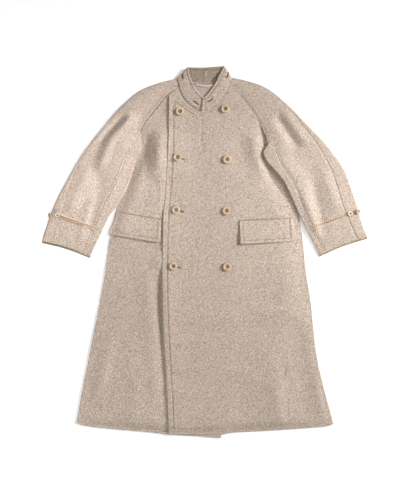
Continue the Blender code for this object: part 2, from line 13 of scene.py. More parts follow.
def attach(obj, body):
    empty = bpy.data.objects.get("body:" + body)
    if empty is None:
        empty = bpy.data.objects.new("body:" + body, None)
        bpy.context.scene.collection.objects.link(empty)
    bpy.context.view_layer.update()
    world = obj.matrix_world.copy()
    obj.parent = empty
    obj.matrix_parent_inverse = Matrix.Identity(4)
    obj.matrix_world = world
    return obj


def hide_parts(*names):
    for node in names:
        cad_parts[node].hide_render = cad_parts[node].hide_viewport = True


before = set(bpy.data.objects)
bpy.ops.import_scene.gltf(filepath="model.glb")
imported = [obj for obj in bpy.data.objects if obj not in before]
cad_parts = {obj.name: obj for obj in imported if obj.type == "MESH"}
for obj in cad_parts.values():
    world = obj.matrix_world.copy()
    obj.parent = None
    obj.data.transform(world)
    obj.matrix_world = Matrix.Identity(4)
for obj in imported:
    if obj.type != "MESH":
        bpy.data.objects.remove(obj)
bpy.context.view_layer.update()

MM = 0.001
BODY = "root"


class Ramp(namedtuple("Ramp", "start length")):
    """A gentle step from 0 at its start to 1 at its end; a length under zero runs the other way."""

    def at(self, value):
        return smooth((value - self.start) / self.length)


class Crease(namedtuple("Crease", "depth width")):
    """A soft dip or swell along a line."""

    def at(self, d):
        return self.depth * bell(d, self.width)


# Cloth and the way its layers lie, in millimetres
CLOTH = 2.2
COLLAR_CLOTH = 2.6
FLAP_CLOTH = 2.8
LINING_CLOTH = 1.0
TAPE_CLOTH = 1.2
SEAM_GAP = 0.05
LAYER_GAP = 0.3
TIP_UNDER = 4.0
SIDE_LAY = CLOTH + LAYER_GAP
SEAM_RISE = 0.8
FRONT_LAY = 4.3
SIDE_ROLL = 32.0
LAP_RISE = CLOTH + LAYER_GAP
LAP_RAMP = Ramp(10.0, 64.0)
LAP_LIFT = [
    (-547, 0.2), (-420, 0.7), (-300, 2.2), (-160, 6.8), (-90, 5.2), (-42, 1.2), (0, 1.0), (36, 3.6),
    (92, 3.6), (125, 0.6), (180, 0.0), (250, 0.0), (350, 0.5), (420, 1.4), (468, 0.5),
]
LIFT_REACH = 52.0
SLEEVE_LOFT = [(0, 5.5), (1, 8.5), (3, 11.0), (10, 11.0), (14, 7.5)]
SLEEVE_ROUND = 6.0
INNER_ROUND = 2.5
INNER_LEAST = 0.4
RIDE_RAMP = Ramp(-95.0, 60.0)
FOLD_MARGIN = 22.0
CUFF_BOW = 4.5
CUFF_LOWER = 6.0
ROW_GAP = 27.0
EDGE_BAND = 16.0
FLAP_BAND = 11.0
COLLAR_BAND = 8.0
SEAM_BAND = 7.0
HEM_ROLL = Ramp(24.0, -24.0)
HEM_DROP = 2.2
HEM_LEVEL = Ramp(-4.0, 30.0)
NECK_CROSS = -12.0
NECK_MIDDLE = 490.0
NECK_RADIUS = 70.0
NECK_FADE = Ramp(6.0, -6.0)
NECK_TUCK = 1.6
NECK_REACH = 2.2
EDGE_ROUND = 2.4
EDGE_LEAST = 0.12
SIDE_ROUND = 3.0
BODY_LOFT = 7.0
LOFT_SIDE = 50.0
LOFT_SIDE_RIGHT = 80.0
LOFT_SIDE_SLEEVE = 26.0
LOFT_FLARE = 90.0
FLARE = Ramp(60.0, -120.0)
FLARE_LAPPED = Ramp(-180.0, -120.0)
BESIDE_SLEEVE = Ramp(110.0, 60.0)
CHEST = Ramp(430.0, -130.0)
LOFT_HEM = 36.0
THIN_RAMP = Ramp(-95.0, 95.0)

# Spacing of the fine grids: step inside, margin at both ends and step in the margin
FRONT_ACROSS = (4.6, 26, 1.25)
FRONT_ALONG = (5.2, 28, 1.4)
BACK_SIZE = (770, 1050)
BACK_GRID = (12, 12, 3)
SLEEVE_WIDTH = 130
SLEEVE_ACROSS = (2.6, 14, 1.4)
FLAP_ACROSS = (3.4, 10, 1.3)
FLAP_DOWN = (3.0, 10, 1.3)
EDGE_STEPS = [0, 0.15, 0.4, 0.8, 1.3, 1.9, 2.6, 3.4]
EDGE_END = 4.4

# How deep the seams and the edge stitching sink, and how far the edge band swells
RAGLAN_LEFT = Crease(2.0, 2.2)
RAGLAN_RIGHT = Crease(0.6, 2.2)
EDGE_STITCHING = Crease(0.7, 1.6)
EDGE_PUFF = 1.1
EDGE_SWELL = 0.5
EDGE_SWELL_REACH = 5.0
OVER_SEAM = Crease(1.0, 2.2)
INNER_SEAM = Crease(0.8, 2.4)
SLEEVE_STITCHING = Crease(0.6, 1.7)
SLEEVE_SWELL = Crease(0.35, 1.8)
SLEEVE_SWELL_AT = 3.6
STEP_WIDTH = 4.0
BACK_SEAM = Crease(0.8, 1.9)
BACK_INNER_SEAM = Crease(0.6, 1.9)

Point = namedtuple("Point", "x y")
Fold = namedtuple("Fold", "x0 y0 x1 y1 width height")
Sleeve = namedtuple("Sleeve", "outer_x outer_y inner_x inner_y over_seam under_seam ride")
Band = namedtuple("Band", "seam_x seam_y top_x top_y lay stand")
Spot = namedtuple("Spot", "x y tilt")
Slit = namedtuple("Slit", "x0 y0 x1 y1")


def table_of(kind, *values):
    """A table of rows with the named columns of a kind."""
    return [kind(*row) for row in values]


def points(*values):
    """Plan points of an outline."""
    return table_of(Point, *values)


# Sleeves, a row for each section from the neck down to the cuff
NOTCH = 5.0
TIP = 6.0
CUFF = 14.0
LEFT_SLEEVE = table_of(
    Sleeve,
    (-79, 521.5, -74, 502, 7, 0, 0), (-144, 504, -114, 468, 7, 0, 0), (-190, 484, -140, 437, 7, 0, 0),
    (-234, 450, -163, 408, 7, 0, 0), (-270, 414, -180, 386, 7, 0, 0), (-303, 374, -194, 352, 7, 0, 0),
    (-333, 338, -190, 303, 7, 28, 7.4), (-360, 302, -202, 284, 7, 30, 7.6),
    (-388, 258, -216, 238, 8, 34, 7.6), (-412, 214, -236, 182, 13, 40, 7.6),
    (-436, 170, -262, 138, 22, 40, 7.0), (-456, 126, -286, 104, 30, 31, 3.0),
    (-470, 86, -308, 58, 29, 25, 0.5), (-480, 56, -326, 22, 29, 20, 0), (-487, 33, -342, -13, 28, 15, 0),
)
RIGHT_SLEEVE = table_of(
    Sleeve,
    (80, 524, 76, 506, 7, 0, 0), (150, 507, 110, 465, 7, 0, 0), (195, 486, 137, 427, 7, 0, 0),
    (240, 450, 158, 400, 8, 0, 0), (279, 414, 173, 372, 10, 0, 0), (308, 382, 190, 326, 14, 0, 0),
    (345, 345, 176, 300, 20, 38, 7.4), (375, 310, 186, 272, 27, 36, 7.6),
    (402, 274, 206, 249, 34, 28, 7.6), (424, 236, 236, 212, 38, 24, 7.6),
    (440, 192, 256, 174, 41, 22, 7.6), (456, 144, 278, 124, 42, 19, 7.0), (468, 102, 301, 76, 36, 21, 2.5),
    (479, 68, 323, 34, 32, 17, 0.5), (489, 45, 344, -9, 30, 15, 0),
)

# Side seams from the hem up to where the sleeve covers them
LEFT_SIDE = points(
    (-384, -513), (-366, -414), (-348, -324), (-330, -234), (-312, -144), (-297, -54), (-285, 36),
    (-266, 126), (-246, 182), (-226, 238), (-209, 284),
)
RIGHT_SIDE = points(
    (387, -515), (360, -414), (339, -324), (327, -234), (318, -144), (304, -54), (295, 36), (281, 126),
    (263, 174), (243, 212), (214, 249), (194, 272),
)

# Front edges, hems and necklines
LAP_EDGE = points(
    (-107, -547), (-111, -441), (-118, -321), (-123, -225), (-126, -129), (-126.5, -36), (-125, 45),
    (-123, 113), (-117, 180), (-112, 260), (-108.5, 336), (-107, 468),
)
LAP_HEM = points(
    (-107, -547), (48, -546), (81, -541), (198, -535), (340, -525), (374, -521), (387, -515),
)
LAP_NECK = points(
    (-107, 468), (-85, 465), (-62, 455), (-43, 439), (-26, 429.5), (-10, 419.5), (18.6, 429.6),
    (40.2, 445), (56.2, 465), (69.4, 485), (76, 506),
)
UNDER_EDGE = points((50, -558), (60, -300), (80, 100), (96, 434))
UNDER_HEM = points(
    (-384, -513), (-330, -525), (-156, -541), (-108, -547), (-20, -552), (50, -558),
)
UNDER_NECK = points(
    (-74, 502), (-69, 473.5), (-58.6, 455.6), (-44, 441.4), (-27, 431.2), (-10, 419), (14, 415), (50, 422),
    (96, 434),
)
BACK_HEM = points((-384, -513), (-200, -533), (0, -540), (200, -531), (387, -515))
BACK_NECK = points(
    (-74, 502), (-60, 512.5), (-20, 509.6), (2, 508.6), (25, 510.6), (60, 514.6), (76, 506),
)

COLLAR_STEPS = 14
COLLAR_SHARES = [0, 0.005, 0.015, 0.03, *np.linspace(0.06, 0.94, 24), 0.965, 0.98, 0.99, 0.996, 1]

# Stand collar, a row for each section from the left end round the back to the right end
COLLAR = table_of(
    Band,
    (-7, 425, 3, 463, 4.4, 0.3), (-26, 433, -8, 469, 4.4, 0.8), (-43, 443, -16, 477, 4.4, 1.2),
    (-57, 457, -26, 489, 4.6, 1.8), (-67, 474, -35, 507, 5.2, 2.5), (-74, 493, -44, 530, 6.0, 3.4),
    (-80, 516, -48, 550, 5.2, 4.4), (-81, 519, -49, 553, 3.0, 5.4), (-80, 518, -48, 553, 0.8, 6.4),
    (-60, 513, -33, 552.5, 0, 7.2), (-20, 510, -12, 552, 0, 7.6), (2, 509, 5, 552.5, 0, 7.6),
    (25, 511, 24, 554, 0, 7.6), (61, 516, 44, 555.5, 0, 7.2), (81, 520, 57, 556.5, 0.8, 6.4),
    (82, 521, 58, 556.5, 3.4, 5.0), (81, 518, 57, 554, 6.0, 4.0), (75.5, 500, 48, 537, 7.2, 3.0),
    (68, 486, 37, 514, 7.6, 2.2), (55, 466, 25, 495, 7.7, 1.5), (39, 446, 14, 479, 7.7, 1.0),
    (18, 431.5, 4, 468, 7.7, 0.7), (-9, 421.5, -5, 463, 7.7, 0.4),
)

# Neck lining and hanger loop
LINING_TOP = points((-58, 511), (-20, 508.8), (2, 507.8), (25, 509.8), (58, 513))
LINING_FOOT = points((-40, 450), (-22, 428), (0, 420), (22, 428), (44, 452))
HANGER_WIDTH = 6.0
HANGER = points((-27, 502), (-16, 500), (5, 496.5), (24, 500), (36, 504))

# Pocket flaps, corners in order round the outline from the top left
FLAPS = {
    "left": points((-262, 120), (-128, 97), (-132, 27), (-291, 52)),
    "right": points((103, 94), (265, 101), (269, 31), (107, 22)),
}
FLAP_CORNER = 9.0
FLAP_STAND = 4.5

# Main folds of the laid cloth; a height under zero is a trough
BODY_FOLDS = table_of(
    Fold,
    (-194, 354, -204, 270, 36, -14), (-208, 285, -254, 150, 22, -10), (-86, 345, -98, 235, 46, 6.5),
    (-180, 262, -214, 150, 20, 4), (-132, 352, -148, 220, 24, 14), (-156, 200, -150, 90, 20, 3),
    (104, 345, 122, 235, 36, -4), (180, 322, 262, 180, 32, -13), (144, 356, 174, 226, 24, 9.5),
    (-172, -70, -150, -420, 20, 2.6), (-134, -60, -122, -540, 14, -2.6), (-70, -196, 110, -186, 22, 2.4),
    (130, -170, 320, -186, 18, 2.2), (-280, -255, -324, -440, 20, 4.6), (-200, -330, -216, -520, 24, 3.2),
    (200, -300, 232, -520, 24, 3.2), (60, -345, 225, -412, 20, 1.8), (322, -200, 366, -490, 18, 3.6),
    (276, -240, 310, -500, 24, -2.2), (20, 330, 30, 160, 40, 1.6),
)
UNDER_FOLDS = table_of(Fold, (-123, 290, -131, 128, 14, 3.6), (-135, 4, -138, -48, 14, 3.2))
LEFT_SLEEVE_FOLDS = table_of(
    Fold,
    (-212, 406, -278, 342, 14, 9), (-278, 342, -311, 255, 15, 8), (-250, 404, -322, 330, 17, -7),
    (-212, 390, -298, 225, 30, 6), (-352, 235, -404, 130, 20, 6), (-306, 215, -356, 50, 18, -6.5),
    (-332, 170, -370, 40, 13, 5.5),
)
RIGHT_SLEEVE_FOLDS = table_of(
    Fold,
    (242, 416, 306, 322, 14, 4), (216, 406, 277, 316, 14, -6.5), (200, 385, 254, 295, 18, 3),
    (352, 250, 396, 130, 20, 5.6), (322, 205, 360, 60, 16, -5.6), (296, 175, 338, 50, 14, 3.4),
)

# Finer creases
BODY_CREASES = table_of(
    Fold,
    (-9, 414, -9, 300, 3.5, -0.7), (186, 21, 186, -60, 5, -0.6), (246, -440, 250, -520, 6, -0.7),
    (63, 261, 66, 150, 7, 0.5), (-267, -264, -312, -444, 9, 0.7), (-230, -60, -262, -200, 14, 0.8),
    (120, -60, 150, -170, 16, 0.9),
)

# Buttons, loops and buttonholes; tilt is the lean in degrees toward +X
FRONT_BUTTON = 25.5
CUFF_BUTTON = 15.5
SHANK_LENGTH = 2.0
FRONT_SPOTS = points(
    (-74, 421), (-80, 283), (-85, 126), (-93, -42), (62, 429), (67, 277), (66, 123), (68, -44),
)
CUFF_SPOTS = {
    "left": (Spot(-439, 110, 0), Spot(-460, 110, -62)),
    "right": (Spot(436, 115, 0), Spot(458, 121, 16)),
}
CORD = 4.4
CORD_PITCH = 14.0
CUFF_LIFT = CORD + 1.2
LOOP_EYE = 5.4
LOOP_SPREAD = 0.9
EYE_ANGLES = (2.0, 1.4, 0.7, 0.0, -0.7, -1.4, -2.0)
LOOPS = {"left": points((-329, 73), (-439, 110)), "right": points((323, 73), (436, 115))}
FRONT_SLITS = [Slit(-70, 280, -58, 275), Slit(-75, 124.5, -61, 119), Slit(-82, -43.5, -69, -49)]
COLLAR_SLITS = [
    Slit(-32, 453, -16, 440), Slit(11, 449, 26, 459), Slit(-65, 535, -65, 518), Slit(72, 539, 68, 521),
]
BACK_SLIT = Slit(4, 541, 4, 528)


def smooth(t):
    """Ease from 0 to 1."""
    t = np.clip(t, 0.0, 1.0)
    return t * t * (3.0 - 2.0 * t)


def bell(d, width):
    """A soft bump across a line."""
    return np.exp(-(d / width) ** 2)


def rounded(d, radius=EDGE_ROUND):
    """Rise of a rounded edge, from 0 at the edge to 1 inside."""
    return np.sqrt(np.clip(1.0 - (1.0 - np.clip(d / radius, 0.0, 1.0)) ** 2, 0.0, 1.0))


def edge_thick(thickness, d, radius=EDGE_ROUND, least=EDGE_LEAST):
    """Thickness at a distance from a rounded edge."""
    return thickness * (least + (1 - least) * rounded(d, radius))


def dense(table, per_span=16):
    """A smooth path through the points of a table."""
    pts = np.array([tuple(p) for p in table], float)
    pad = np.vstack([pts[:1], pts, pts[-1:]])
    t = np.linspace(0, 1, per_span, endpoint=False)[:, None]
    spans = []
    for i in range(len(pts) - 1):
        before, start, end, after = pad[i:i + 4]
        bend = 2 * start - 2 * end + (end - before + after - start) * 0.5
        lean = 3 * (end - start) - (end - before) - (after - start) * 0.5
        spans.append(start + (end - before) * 0.5 * t + lean * t ** 2 + bend * t ** 3)
    return np.vstack(spans + [pts[-1:]])


def run_along(path):
    """Length along a path at each point."""
    return np.concatenate([[0.0], np.cumsum(np.linalg.norm(np.diff(path, axis=0), axis=1))])


def shares(path):
    """Plan length along a path at each point, as a share of the whole."""
    run = run_along(path[:, :2])
    return run / run[-1]


def directions(path):
    """Unit direction of a path at each point."""
    along = np.gradient(path, axis=0)
    return along / np.linalg.norm(along, axis=1, keepdims=True)


def at_shares(path, wanted):
    """Points of the path at the wanted shares of its length."""
    run = shares(path)
    return np.stack([np.interp(wanted, run, path[:, k]) for k in range(path.shape[1])], -1)


def length_of(path):
    """Plan length of a path."""
    return float(run_along(path[:, :2])[-1])


def spaced(length, step, margin, fine):
    """Shares along a length, close together near both ends."""
    near = np.concatenate([EDGE_STEPS, np.arange(EDGE_END, margin, fine)])
    count = max(int((length - 2 * margin) / step), 2)
    middle = np.linspace(margin, length - margin, count)
    return np.concatenate([near, middle, length - near[::-1]]) / length


def patch(bottom, top, left, right, u, v):
    """Plan points between four edges that meet at the corners."""
    low, high = at_shares(bottom, u)[None], at_shares(top, u)[None]
    start, end = at_shares(left, v)[:, None], at_shares(right, v)[:, None]
    u, v = u[None, :, None], v[:, None, None]
    corners = (low[:, :1] * (1 - u) + low[:, -1:] * u) * (1 - v)
    corners = corners + (high[:, :1] * (1 - u) + high[:, -1:] * u) * v
    return low * (1 - v) + high * v + start * (1 - u) + end * u - corners


def fold_height(folds, x, y):
    """Height that folds add at points."""
    total = np.zeros_like(x)
    for f in folds:
        ax, ay = f.x1 - f.x0, f.y1 - f.y0
        t = ((x - f.x0) * ax + (y - f.y0) * ay) / (ax * ax + ay * ay)
        foot = np.clip(t, 0, 1)
        away = np.hypot(x - f.x0 - ax * foot, y - f.y0 - ay * foot)
        fade = smooth((t + 0.25) / 0.5) * smooth((1.25 - t) / 0.5)
        total += f.height * fade * bell(away, f.width)
    return total


def ripple(x, y, seed):
    """Slight unevenness of thick woollen cloth."""
    total = np.zeros_like(x)
    for k in range(9):
        angle = 2.399 * (k + seed)
        wave = 38.0 + 17.0 * ((k * 7 + seed * 3) % 9)
        phase = (x * math.cos(angle) + y * math.sin(angle)) / wave * math.tau + 1.7 * k + seed
        total += np.sin(phase + 0.8 * np.sin(phase * 0.37 + k)) * wave / 120.0
    return total * 0.16


def grid_mesh(name, layers, grain):
    """A shell from an upper and a lower grid of points in millimetres, with rims between them."""
    top, low = layers
    rows, cols = top.shape[:2]
    count = rows * cols
    corners = np.concatenate([top.reshape(-1, 3), low.reshape(-1, 3)]) * MM
    index = np.arange(count).reshape(rows, cols)
    a, b = index[:-1, :-1].ravel(), index[:-1, 1:].ravel()
    c, d = index[1:, 1:].ravel(), index[1:, :-1].ravel()
    faces = [np.stack([a, b, c, d], 1), np.stack([d, c, b, a], 1) + count]
    ring = np.concatenate([index[0, :], index[1:, -1], index[-1, -2::-1], index[-2:0:-1, 0]])
    after = np.roll(ring, -1)
    faces.append(np.stack([after, ring, ring + count, after + count], 1))
    quads = np.concatenate(faces)
    normal = np.cross(top[0, 1] - top[0, 0], top[1, 0] - top[0, 0])
    outward = top[0, 0] - low[0, 0]
    if np.dot(normal, outward) < 0:
        quads = quads[:, ::-1]
    mesh = bpy.data.meshes.new(name)
    mesh.from_pydata(corners.tolist(), [], quads.tolist(), shade_flat=False)
    layer = mesh.uv_layers.new(name="grain")
    flat = np.concatenate([grain.reshape(-1, 2)] * 2) * MM
    layer.data.foreach_set("uv", flat[quads.ravel()].ravel().astype(np.float32))
    return mesh


def work_mesh(name, work):
    """A mesh out of collected faces."""
    mesh = bpy.data.meshes.new(name)
    work.to_mesh(mesh)
    work.free()
    return mesh


def join_meshes(name, meshes):
    """One mesh out of several."""
    work = bmesh.new()
    for m in meshes:
        work.from_mesh(m)
    return work_mesh(name, work)


def mark_painted_shade(mesh, count, before=0):
    """Give the lower faces of a shell the second material, the darker tweed of painted shade."""
    for face in range(before + count, before + 2 * count):
        mesh.polygons[face].material_index = 1


def add_object(name, data, matrix=None):
    """A new object in the scene."""
    item = bpy.data.objects.new(name, data)
    if matrix is not None:
        item.matrix_world = matrix
    bpy.context.scene.collection.objects.link(item)
    return item


def place(name, mesh, materials, node, matrix=None):
    """Put a piece on the frame, in place of its solid if it has one."""
    item = add_object(name, mesh, matrix)
    for m in materials:
        mesh.materials.append(m)
    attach(item, BODY)
    if node:
        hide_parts(node)
    return item


def lay_cloth(node, make, *values, materials=(), slot="wool"):
    """Make the cloth of a node, wool if nothing else is said, and put it in place of its solid."""
    name = f"{node}_cloth"
    return place(name, make(name, *values), materials or [WOOL], node)


def surface_of(item):
    """A search tree of a piece, to lay other pieces on."""
    bpy.context.view_layer.update()
    return BVHTree.FromObject(item, bpy.context.evaluated_depsgraph_get())


def top_of(trees, x, y, fallback=0.0):
    """Height in millimetres of the highest cloth at a point."""
    start, down = Vector((x * MM, y * MM, 1.0)), Vector((0, 0, -1))
    hits = [tree.ray_cast(start, down)[0] for tree in trees]
    return max((hit.z / MM for hit in hits if hit is not None), default=fallback)


def heights_on(trees, x, y, fallback=0.0):
    """Heights of the highest cloth at many points."""
    flat = [top_of(trees, px, py, fallback) for px, py in zip(x.ravel(), y.ravel())]
    return np.array(flat).reshape(x.shape)


# Materials
def socket(node, name, value):
    """Set an input of a shader node."""
    node.inputs[name].default_value = value


class Look:
    """A material and the nodes that feed its shader."""

    def __init__(self, name, roughness, sheen):
        self.material = bpy.data.materials.new(name)
        self.material.use_nodes = True
        self.shader = self.material.node_tree.nodes["Principled BSDF"]
        socket(self.shader, "Roughness", roughness)
        socket(self.shader, "Sheen Weight", sheen)

    def node(self, kind, **values):
        """A new node with some of its inputs set."""
        made = self.material.node_tree.nodes.new("ShaderNode" + kind)
        for name, value in values.items():
            socket(made, name, value)
        return made

    def link(self, node, output, target, name):
        """Lead an output of one node to an input of another."""
        self.material.node_tree.links.new(node.outputs[output], target.inputs[name])

    def colours(self, source, output, stops):
        """Colour the surface by a ramp of stops."""
        ramp = self.node("ValToRGB")
        elements = ramp.color_ramp.elements
        for k, (spot, colour) in ((0, stops[0]), (1, stops[-1])):
            elements[k].position = spot
            elements[k].color = (*colour, 1)
        for spot, colour in stops[1:-1]:
            elements.new(spot).color = (*colour, 1)
        self.link(source, output, ramp, "Fac")
        self.link(ramp, "Color", self.shader, "Base Color")

    def bumps(self, source, output, strength, depth):
        """Raise the surface by an output."""
        bump = self.node("Bump", Strength=strength, Distance=depth)
        self.link(source, output, bump, "Height")
        self.link(bump, "Normal", self.shader, "Normal")


GRAIN_STRETCH = (1.0, 0.62, 1.0)
FLECK_SCALE = 1150.0
FLECK_SHARE = 0.42
YARN_SCALE = 900.0
WOOL_BUMP = 0.0009


def tweed(name, dark, body, light, cream):
    """Marled woollen tweed in four shades, on the grain of its cloth."""
    look = Look(name, 0.95, 0.18)
    socket(look.shader, "Specular IOR Level", 0.15)
    socket(look.shader, "Sheen Roughness", 0.5)
    grain = look.node("UVMap")
    grain.uv_map = "grain"
    stretch = look.node("Mapping", Scale=GRAIN_STRETCH)
    look.link(grain, "UV", stretch, "Vector")
    fleck = look.node("TexVoronoi", Scale=FLECK_SCALE)
    fleck.voronoi_dimensions = "2D"
    look.link(stretch, "Vector", fleck, "Vector")
    speck = look.node("SeparateColor")
    look.link(fleck, "Color", speck, "Color")
    yarn = look.node("TexNoise", Scale=YARN_SCALE, Detail=2.0, Roughness=0.6)
    yarn.noise_dimensions = "2D"
    look.link(stretch, "Vector", yarn, "Vector")
    flecks = look.node("Math")
    flecks.operation = "MULTIPLY"
    socket(flecks, 1, FLECK_SHARE)
    look.link(speck, "Red", flecks, 0)
    marl = look.node("Math")
    marl.operation = "MULTIPLY_ADD"
    socket(marl, 1, 1 - FLECK_SHARE)
    look.link(yarn, "Fac", marl, 0)
    look.link(flecks, "Value", marl, 2)
    look.colours(marl, "Value", [(0.26, dark), (0.44, body), (0.58, light), (0.76, cream)])
    look.bumps(marl, "Value", 0.5, WOOL_BUMP)
    return look.material


def plain(name, colour, roughness, scale=0.0, depth=0.0, sheen=0.0):
    """A plain material, with a fine uneven surface if it has a scale."""
    look = Look(name, roughness, sheen)
    if not scale:
        socket(look.shader, "Base Color", (*colour, 1))
        return look.material
    where = look.node("TexCoord")
    noise = look.node("TexNoise", Scale=scale, Detail=3.0)
    look.link(where, "Object", noise, "Vector")
    dark, light = [c * 0.82 for c in colour], [min(c * 1.12, 1) for c in colour]
    look.colours(noise, "Fac", [(0.3, dark), (0.7, light)])
    if depth:
        look.bumps(noise, "Fac", 0.4, depth)
    return look.material


WOOL = tweed("wool_tweed", dark=(0.125, 0.08, 0.055), body=(0.465, 0.362, 0.286),
             light=(0.63, 0.51, 0.418), cream=(0.91, 0.81, 0.715))
# A darker copy of the tweed for the inner faces of the collar and the sleeve backs: painted shade.
WOOL_PAINTED_SHADE = tweed("wool_painted_shade", dark=(0.09, 0.062, 0.044), body=(0.33, 0.252, 0.19),
                    light=(0.43, 0.34, 0.265), cream=(0.60, 0.51, 0.43))
# The lining's own pinkish tone, darkened for the shade of the neck recess: partly painted shade.
LINING = plain("lining_satin", (0.52, 0.41, 0.36), 0.45, 240.0, 0.0002, 0.2)
TAPE = plain("hanger_tape", (0.70, 0.57, 0.49), 0.6, 900.0, 0.0002)
HORN = plain("button_rim", (0.70, 0.51, 0.335), 0.32, 160.0)
HORN_PALE = plain("button_pale", (0.86, 0.72, 0.57), 0.32, 160.0)
# Near-black colour for the outer edge of each button: painted shadow round the button.
HORN_PAINTED_SHADOW = plain("button_painted_shadow_rim", (0.20, 0.125, 0.08), 0.45, 200.0)
HORN_DARK = plain("button_dish", (0.29, 0.175, 0.11), 0.4, 260.0)
PEACH = plain("loop_cord", (0.86, 0.61, 0.44), 0.7, 1400.0, 0.0003, 0.2)
# Dark brown for the grooves and lower flanks of the cuff cords: painted shade.
PEACH_PAINTED_SHADE = plain("loop_cord_painted_shade", (0.22, 0.13, 0.08), 0.8, 1400.0, 0.0003)
THREAD = plain("sewing_thread", (0.30, 0.225, 0.17), 0.8, 1800.0)
STITCH_DARK = plain("seam_thread", (0.23, 0.165, 0.125), 0.85, 1800.0)
# Near-black thread laid along each buttonhole: painted shade of the open slit.
SLIT_PAINTED_SHADE = plain("buttonhole_slit", (0.035, 0.022, 0.015), 0.9)
SLIT_LIGHT = plain("buttonhole_light", (0.80, 0.72, 0.62), 0.9)


# Body panels
def row_point(rows, index):
    """Inner end of a sleeve row."""
    return np.array([rows[index].inner_x, rows[index].inner_y], float)


def body_edge(side, rows):
    """Outer edge of a body panel from the hem to the neck, and where the side, tip and notch are."""
    tip = row_point(rows, int(TIP))
    tip[0] += math.copysign(TIP_UNDER, tip[0])
    seam = np.array([row_point(rows, k) for k in range(int(NOTCH), -1, -1)])
    seam[0, 0] += math.copysign(TIP_UNDER, tip[0])
    side_path = dense(side)
    path = np.vstack([side_path, tip[None], dense(seam)])
    run = shares(path)
    marks = run[[len(side_path) - 1, len(side_path), len(side_path) + 1]]
    return path, marks


left_edge, left_marks = body_edge(LEFT_SIDE, LEFT_SLEEVE)
right_edge, right_marks = body_edge(RIGHT_SIDE, RIGHT_SLEEVE)
hem_line = np.vstack([dense(UNDER_HEM[:4]), dense(LAP_HEM)])
lap_path, under_path = dense(LAP_EDGE), dense(UNDER_EDGE)
lift_path = dense(LAP_LIFT)


def gap_to(plan, line):
    """Plan distance of each point of a grid from the point of a line in its row or column."""
    return np.hypot(plan[..., 0] - line[..., 0], plan[..., 1] - line[..., 1])


def past(path, x, y):
    """Distance in X from an upright path."""
    return x - np.interp(y, path[:, 1], path[:, 0])


def front_lay(plan, edge, marks, v, lapped):
    """Height of a front's underside, and the distance of its points from the side edge."""
    side = at_shares(edge, v)[:, None]
    lays = [SIDE_LAY, SIDE_LAY, SIDE_LAY + SEAM_RISE, FRONT_LAY, FRONT_LAY]
    lay = np.interp(v, [0, *marks, 1], lays)[:, None]
    away = gap_to(plan, side)
    inside = smooth(away / SIDE_ROLL)
    x, y = plan[..., 0], plan[..., 1]
    z = lay + (FRONT_LAY - lay) * inside
    above = y - np.interp(x, hem_line[:, 0], hem_line[:, 1])
    if lapped:
        reach = LOFT_SIDE_RIGHT + LOFT_FLARE * FLARE_LAPPED.at(y)
    else:
        reach = LOFT_SIDE + (LOFT_SIDE_SLEEVE - LOFT_SIDE) * BESIDE_SLEEVE.at(y) + LOFT_FLARE * FLARE.at(y)
    loft = smooth(away / reach) * smooth(above / LOFT_HEM) * CHEST.at(y)
    z = z + BODY_LOFT * loft - HEM_DROP * HEM_ROLL.at(above) * inside
    folds = BODY_FOLDS + BODY_CREASES + ([] if lapped else UNDER_FOLDS)
    z = z + (fold_height(folds, x, y) * HEM_LEVEL.at(above) + ripple(x, y, 1)) * inside
    z = np.maximum(z, SIDE_LAY)
    if lapped:
        z = z + LAP_RISE * (1 - LAP_RAMP.at(past(under_path, x, y)))
        from_lap = np.maximum(past(lap_path, x, y), 0)
        z = z + np.interp(y, lift_path[:, 0], lift_path[:, 1]) * bell(from_lap, LIFT_REACH)
    return z, away


def shell(plan, low, high):
    """Upper and lower grids of a panel."""
    return np.dstack([plan, high]), np.dstack([plan, low])


BAND_TOP_END = -14.0
BAND_FOOT = Ramp(12.0, -26.0)
BAND_FOOT_DROP = 60.0
NO_EDGE = 1e3


def band_gap(x, from_edge, from_neck, from_hem):
    """Distance from the stitched edge of the lap, with its top and the corner at its foot."""
    band = np.minimum(from_edge, np.where(x < BAND_TOP_END, from_neck, NO_EDGE))
    corner = BAND_FOOT.at(x)
    return np.minimum(band, np.where(corner > 0, from_hem + (1 - corner) * BAND_FOOT_DROP, NO_EDGE))


def make_front(name, hem, neck, left, right, lapped):
    """One front with its edge band, hem and seams."""
    edge, marks = (right, right_marks) if lapped else (left, left_marks)
    free = left if lapped else right
    hem, neck = dense(hem), dense(neck)
    u = spaced(length_of(hem), *FRONT_ACROSS)
    v = spaced(length_of(free), *FRONT_ALONG)
    plan = patch(hem, neck, left, right, u, v)
    low, away = front_lay(plan, edge, marks, v, lapped)
    from_edge = gap_to(plan, at_shares(free, v)[:, None])
    from_hem, from_neck = [gap_to(plan, at_shares(path, u)[None]) for path in (hem, neck)]
    raglan = (v > marks[2])[:, None] * np.ones_like(low)
    thick = edge_thick(CLOTH, np.minimum(from_edge, from_hem))
    thick = thick * np.where(raglan > 0, 1.0, edge_thick(1.0, away, SIDE_ROUND, 0.3))
    dip = (RAGLAN_RIGHT if lapped else RAGLAN_LEFT).at(away) * raglan
    neck_seam = plan[..., 0] > NECK_CROSS if lapped else plan[..., 0] < NECK_CROSS
    tuck = NECK_FADE.at(from_neck) * neck_seam
    low = low - NECK_TUCK * tuck
    to_middle = np.dstack([-plan[..., 0], NECK_MIDDLE - plan[..., 1]]) / NECK_RADIUS
    plan = plan + to_middle * (tuck * NECK_REACH)[..., None]
    if lapped:
        x = plan[..., 0]
        band = band_gap(x, from_edge, from_neck, from_hem)
        thick = thick * np.where(x < BAND_TOP_END, edge_thick(1.0, from_neck), 1.0)
        dip += EDGE_STITCHING.at(band - EDGE_BAND)
        thick = thick + EDGE_PUFF * np.clip(1 - band / EDGE_BAND, 0, 1) * rounded(band)
        beside = np.abs(band - EDGE_BAND - EDGE_SWELL_REACH)
        thick = thick + EDGE_SWELL * smooth(1 - beside / EDGE_SWELL_REACH)
    high = low + thick - dip
    return grid_mesh(name, shell(plan, low, high), plan)


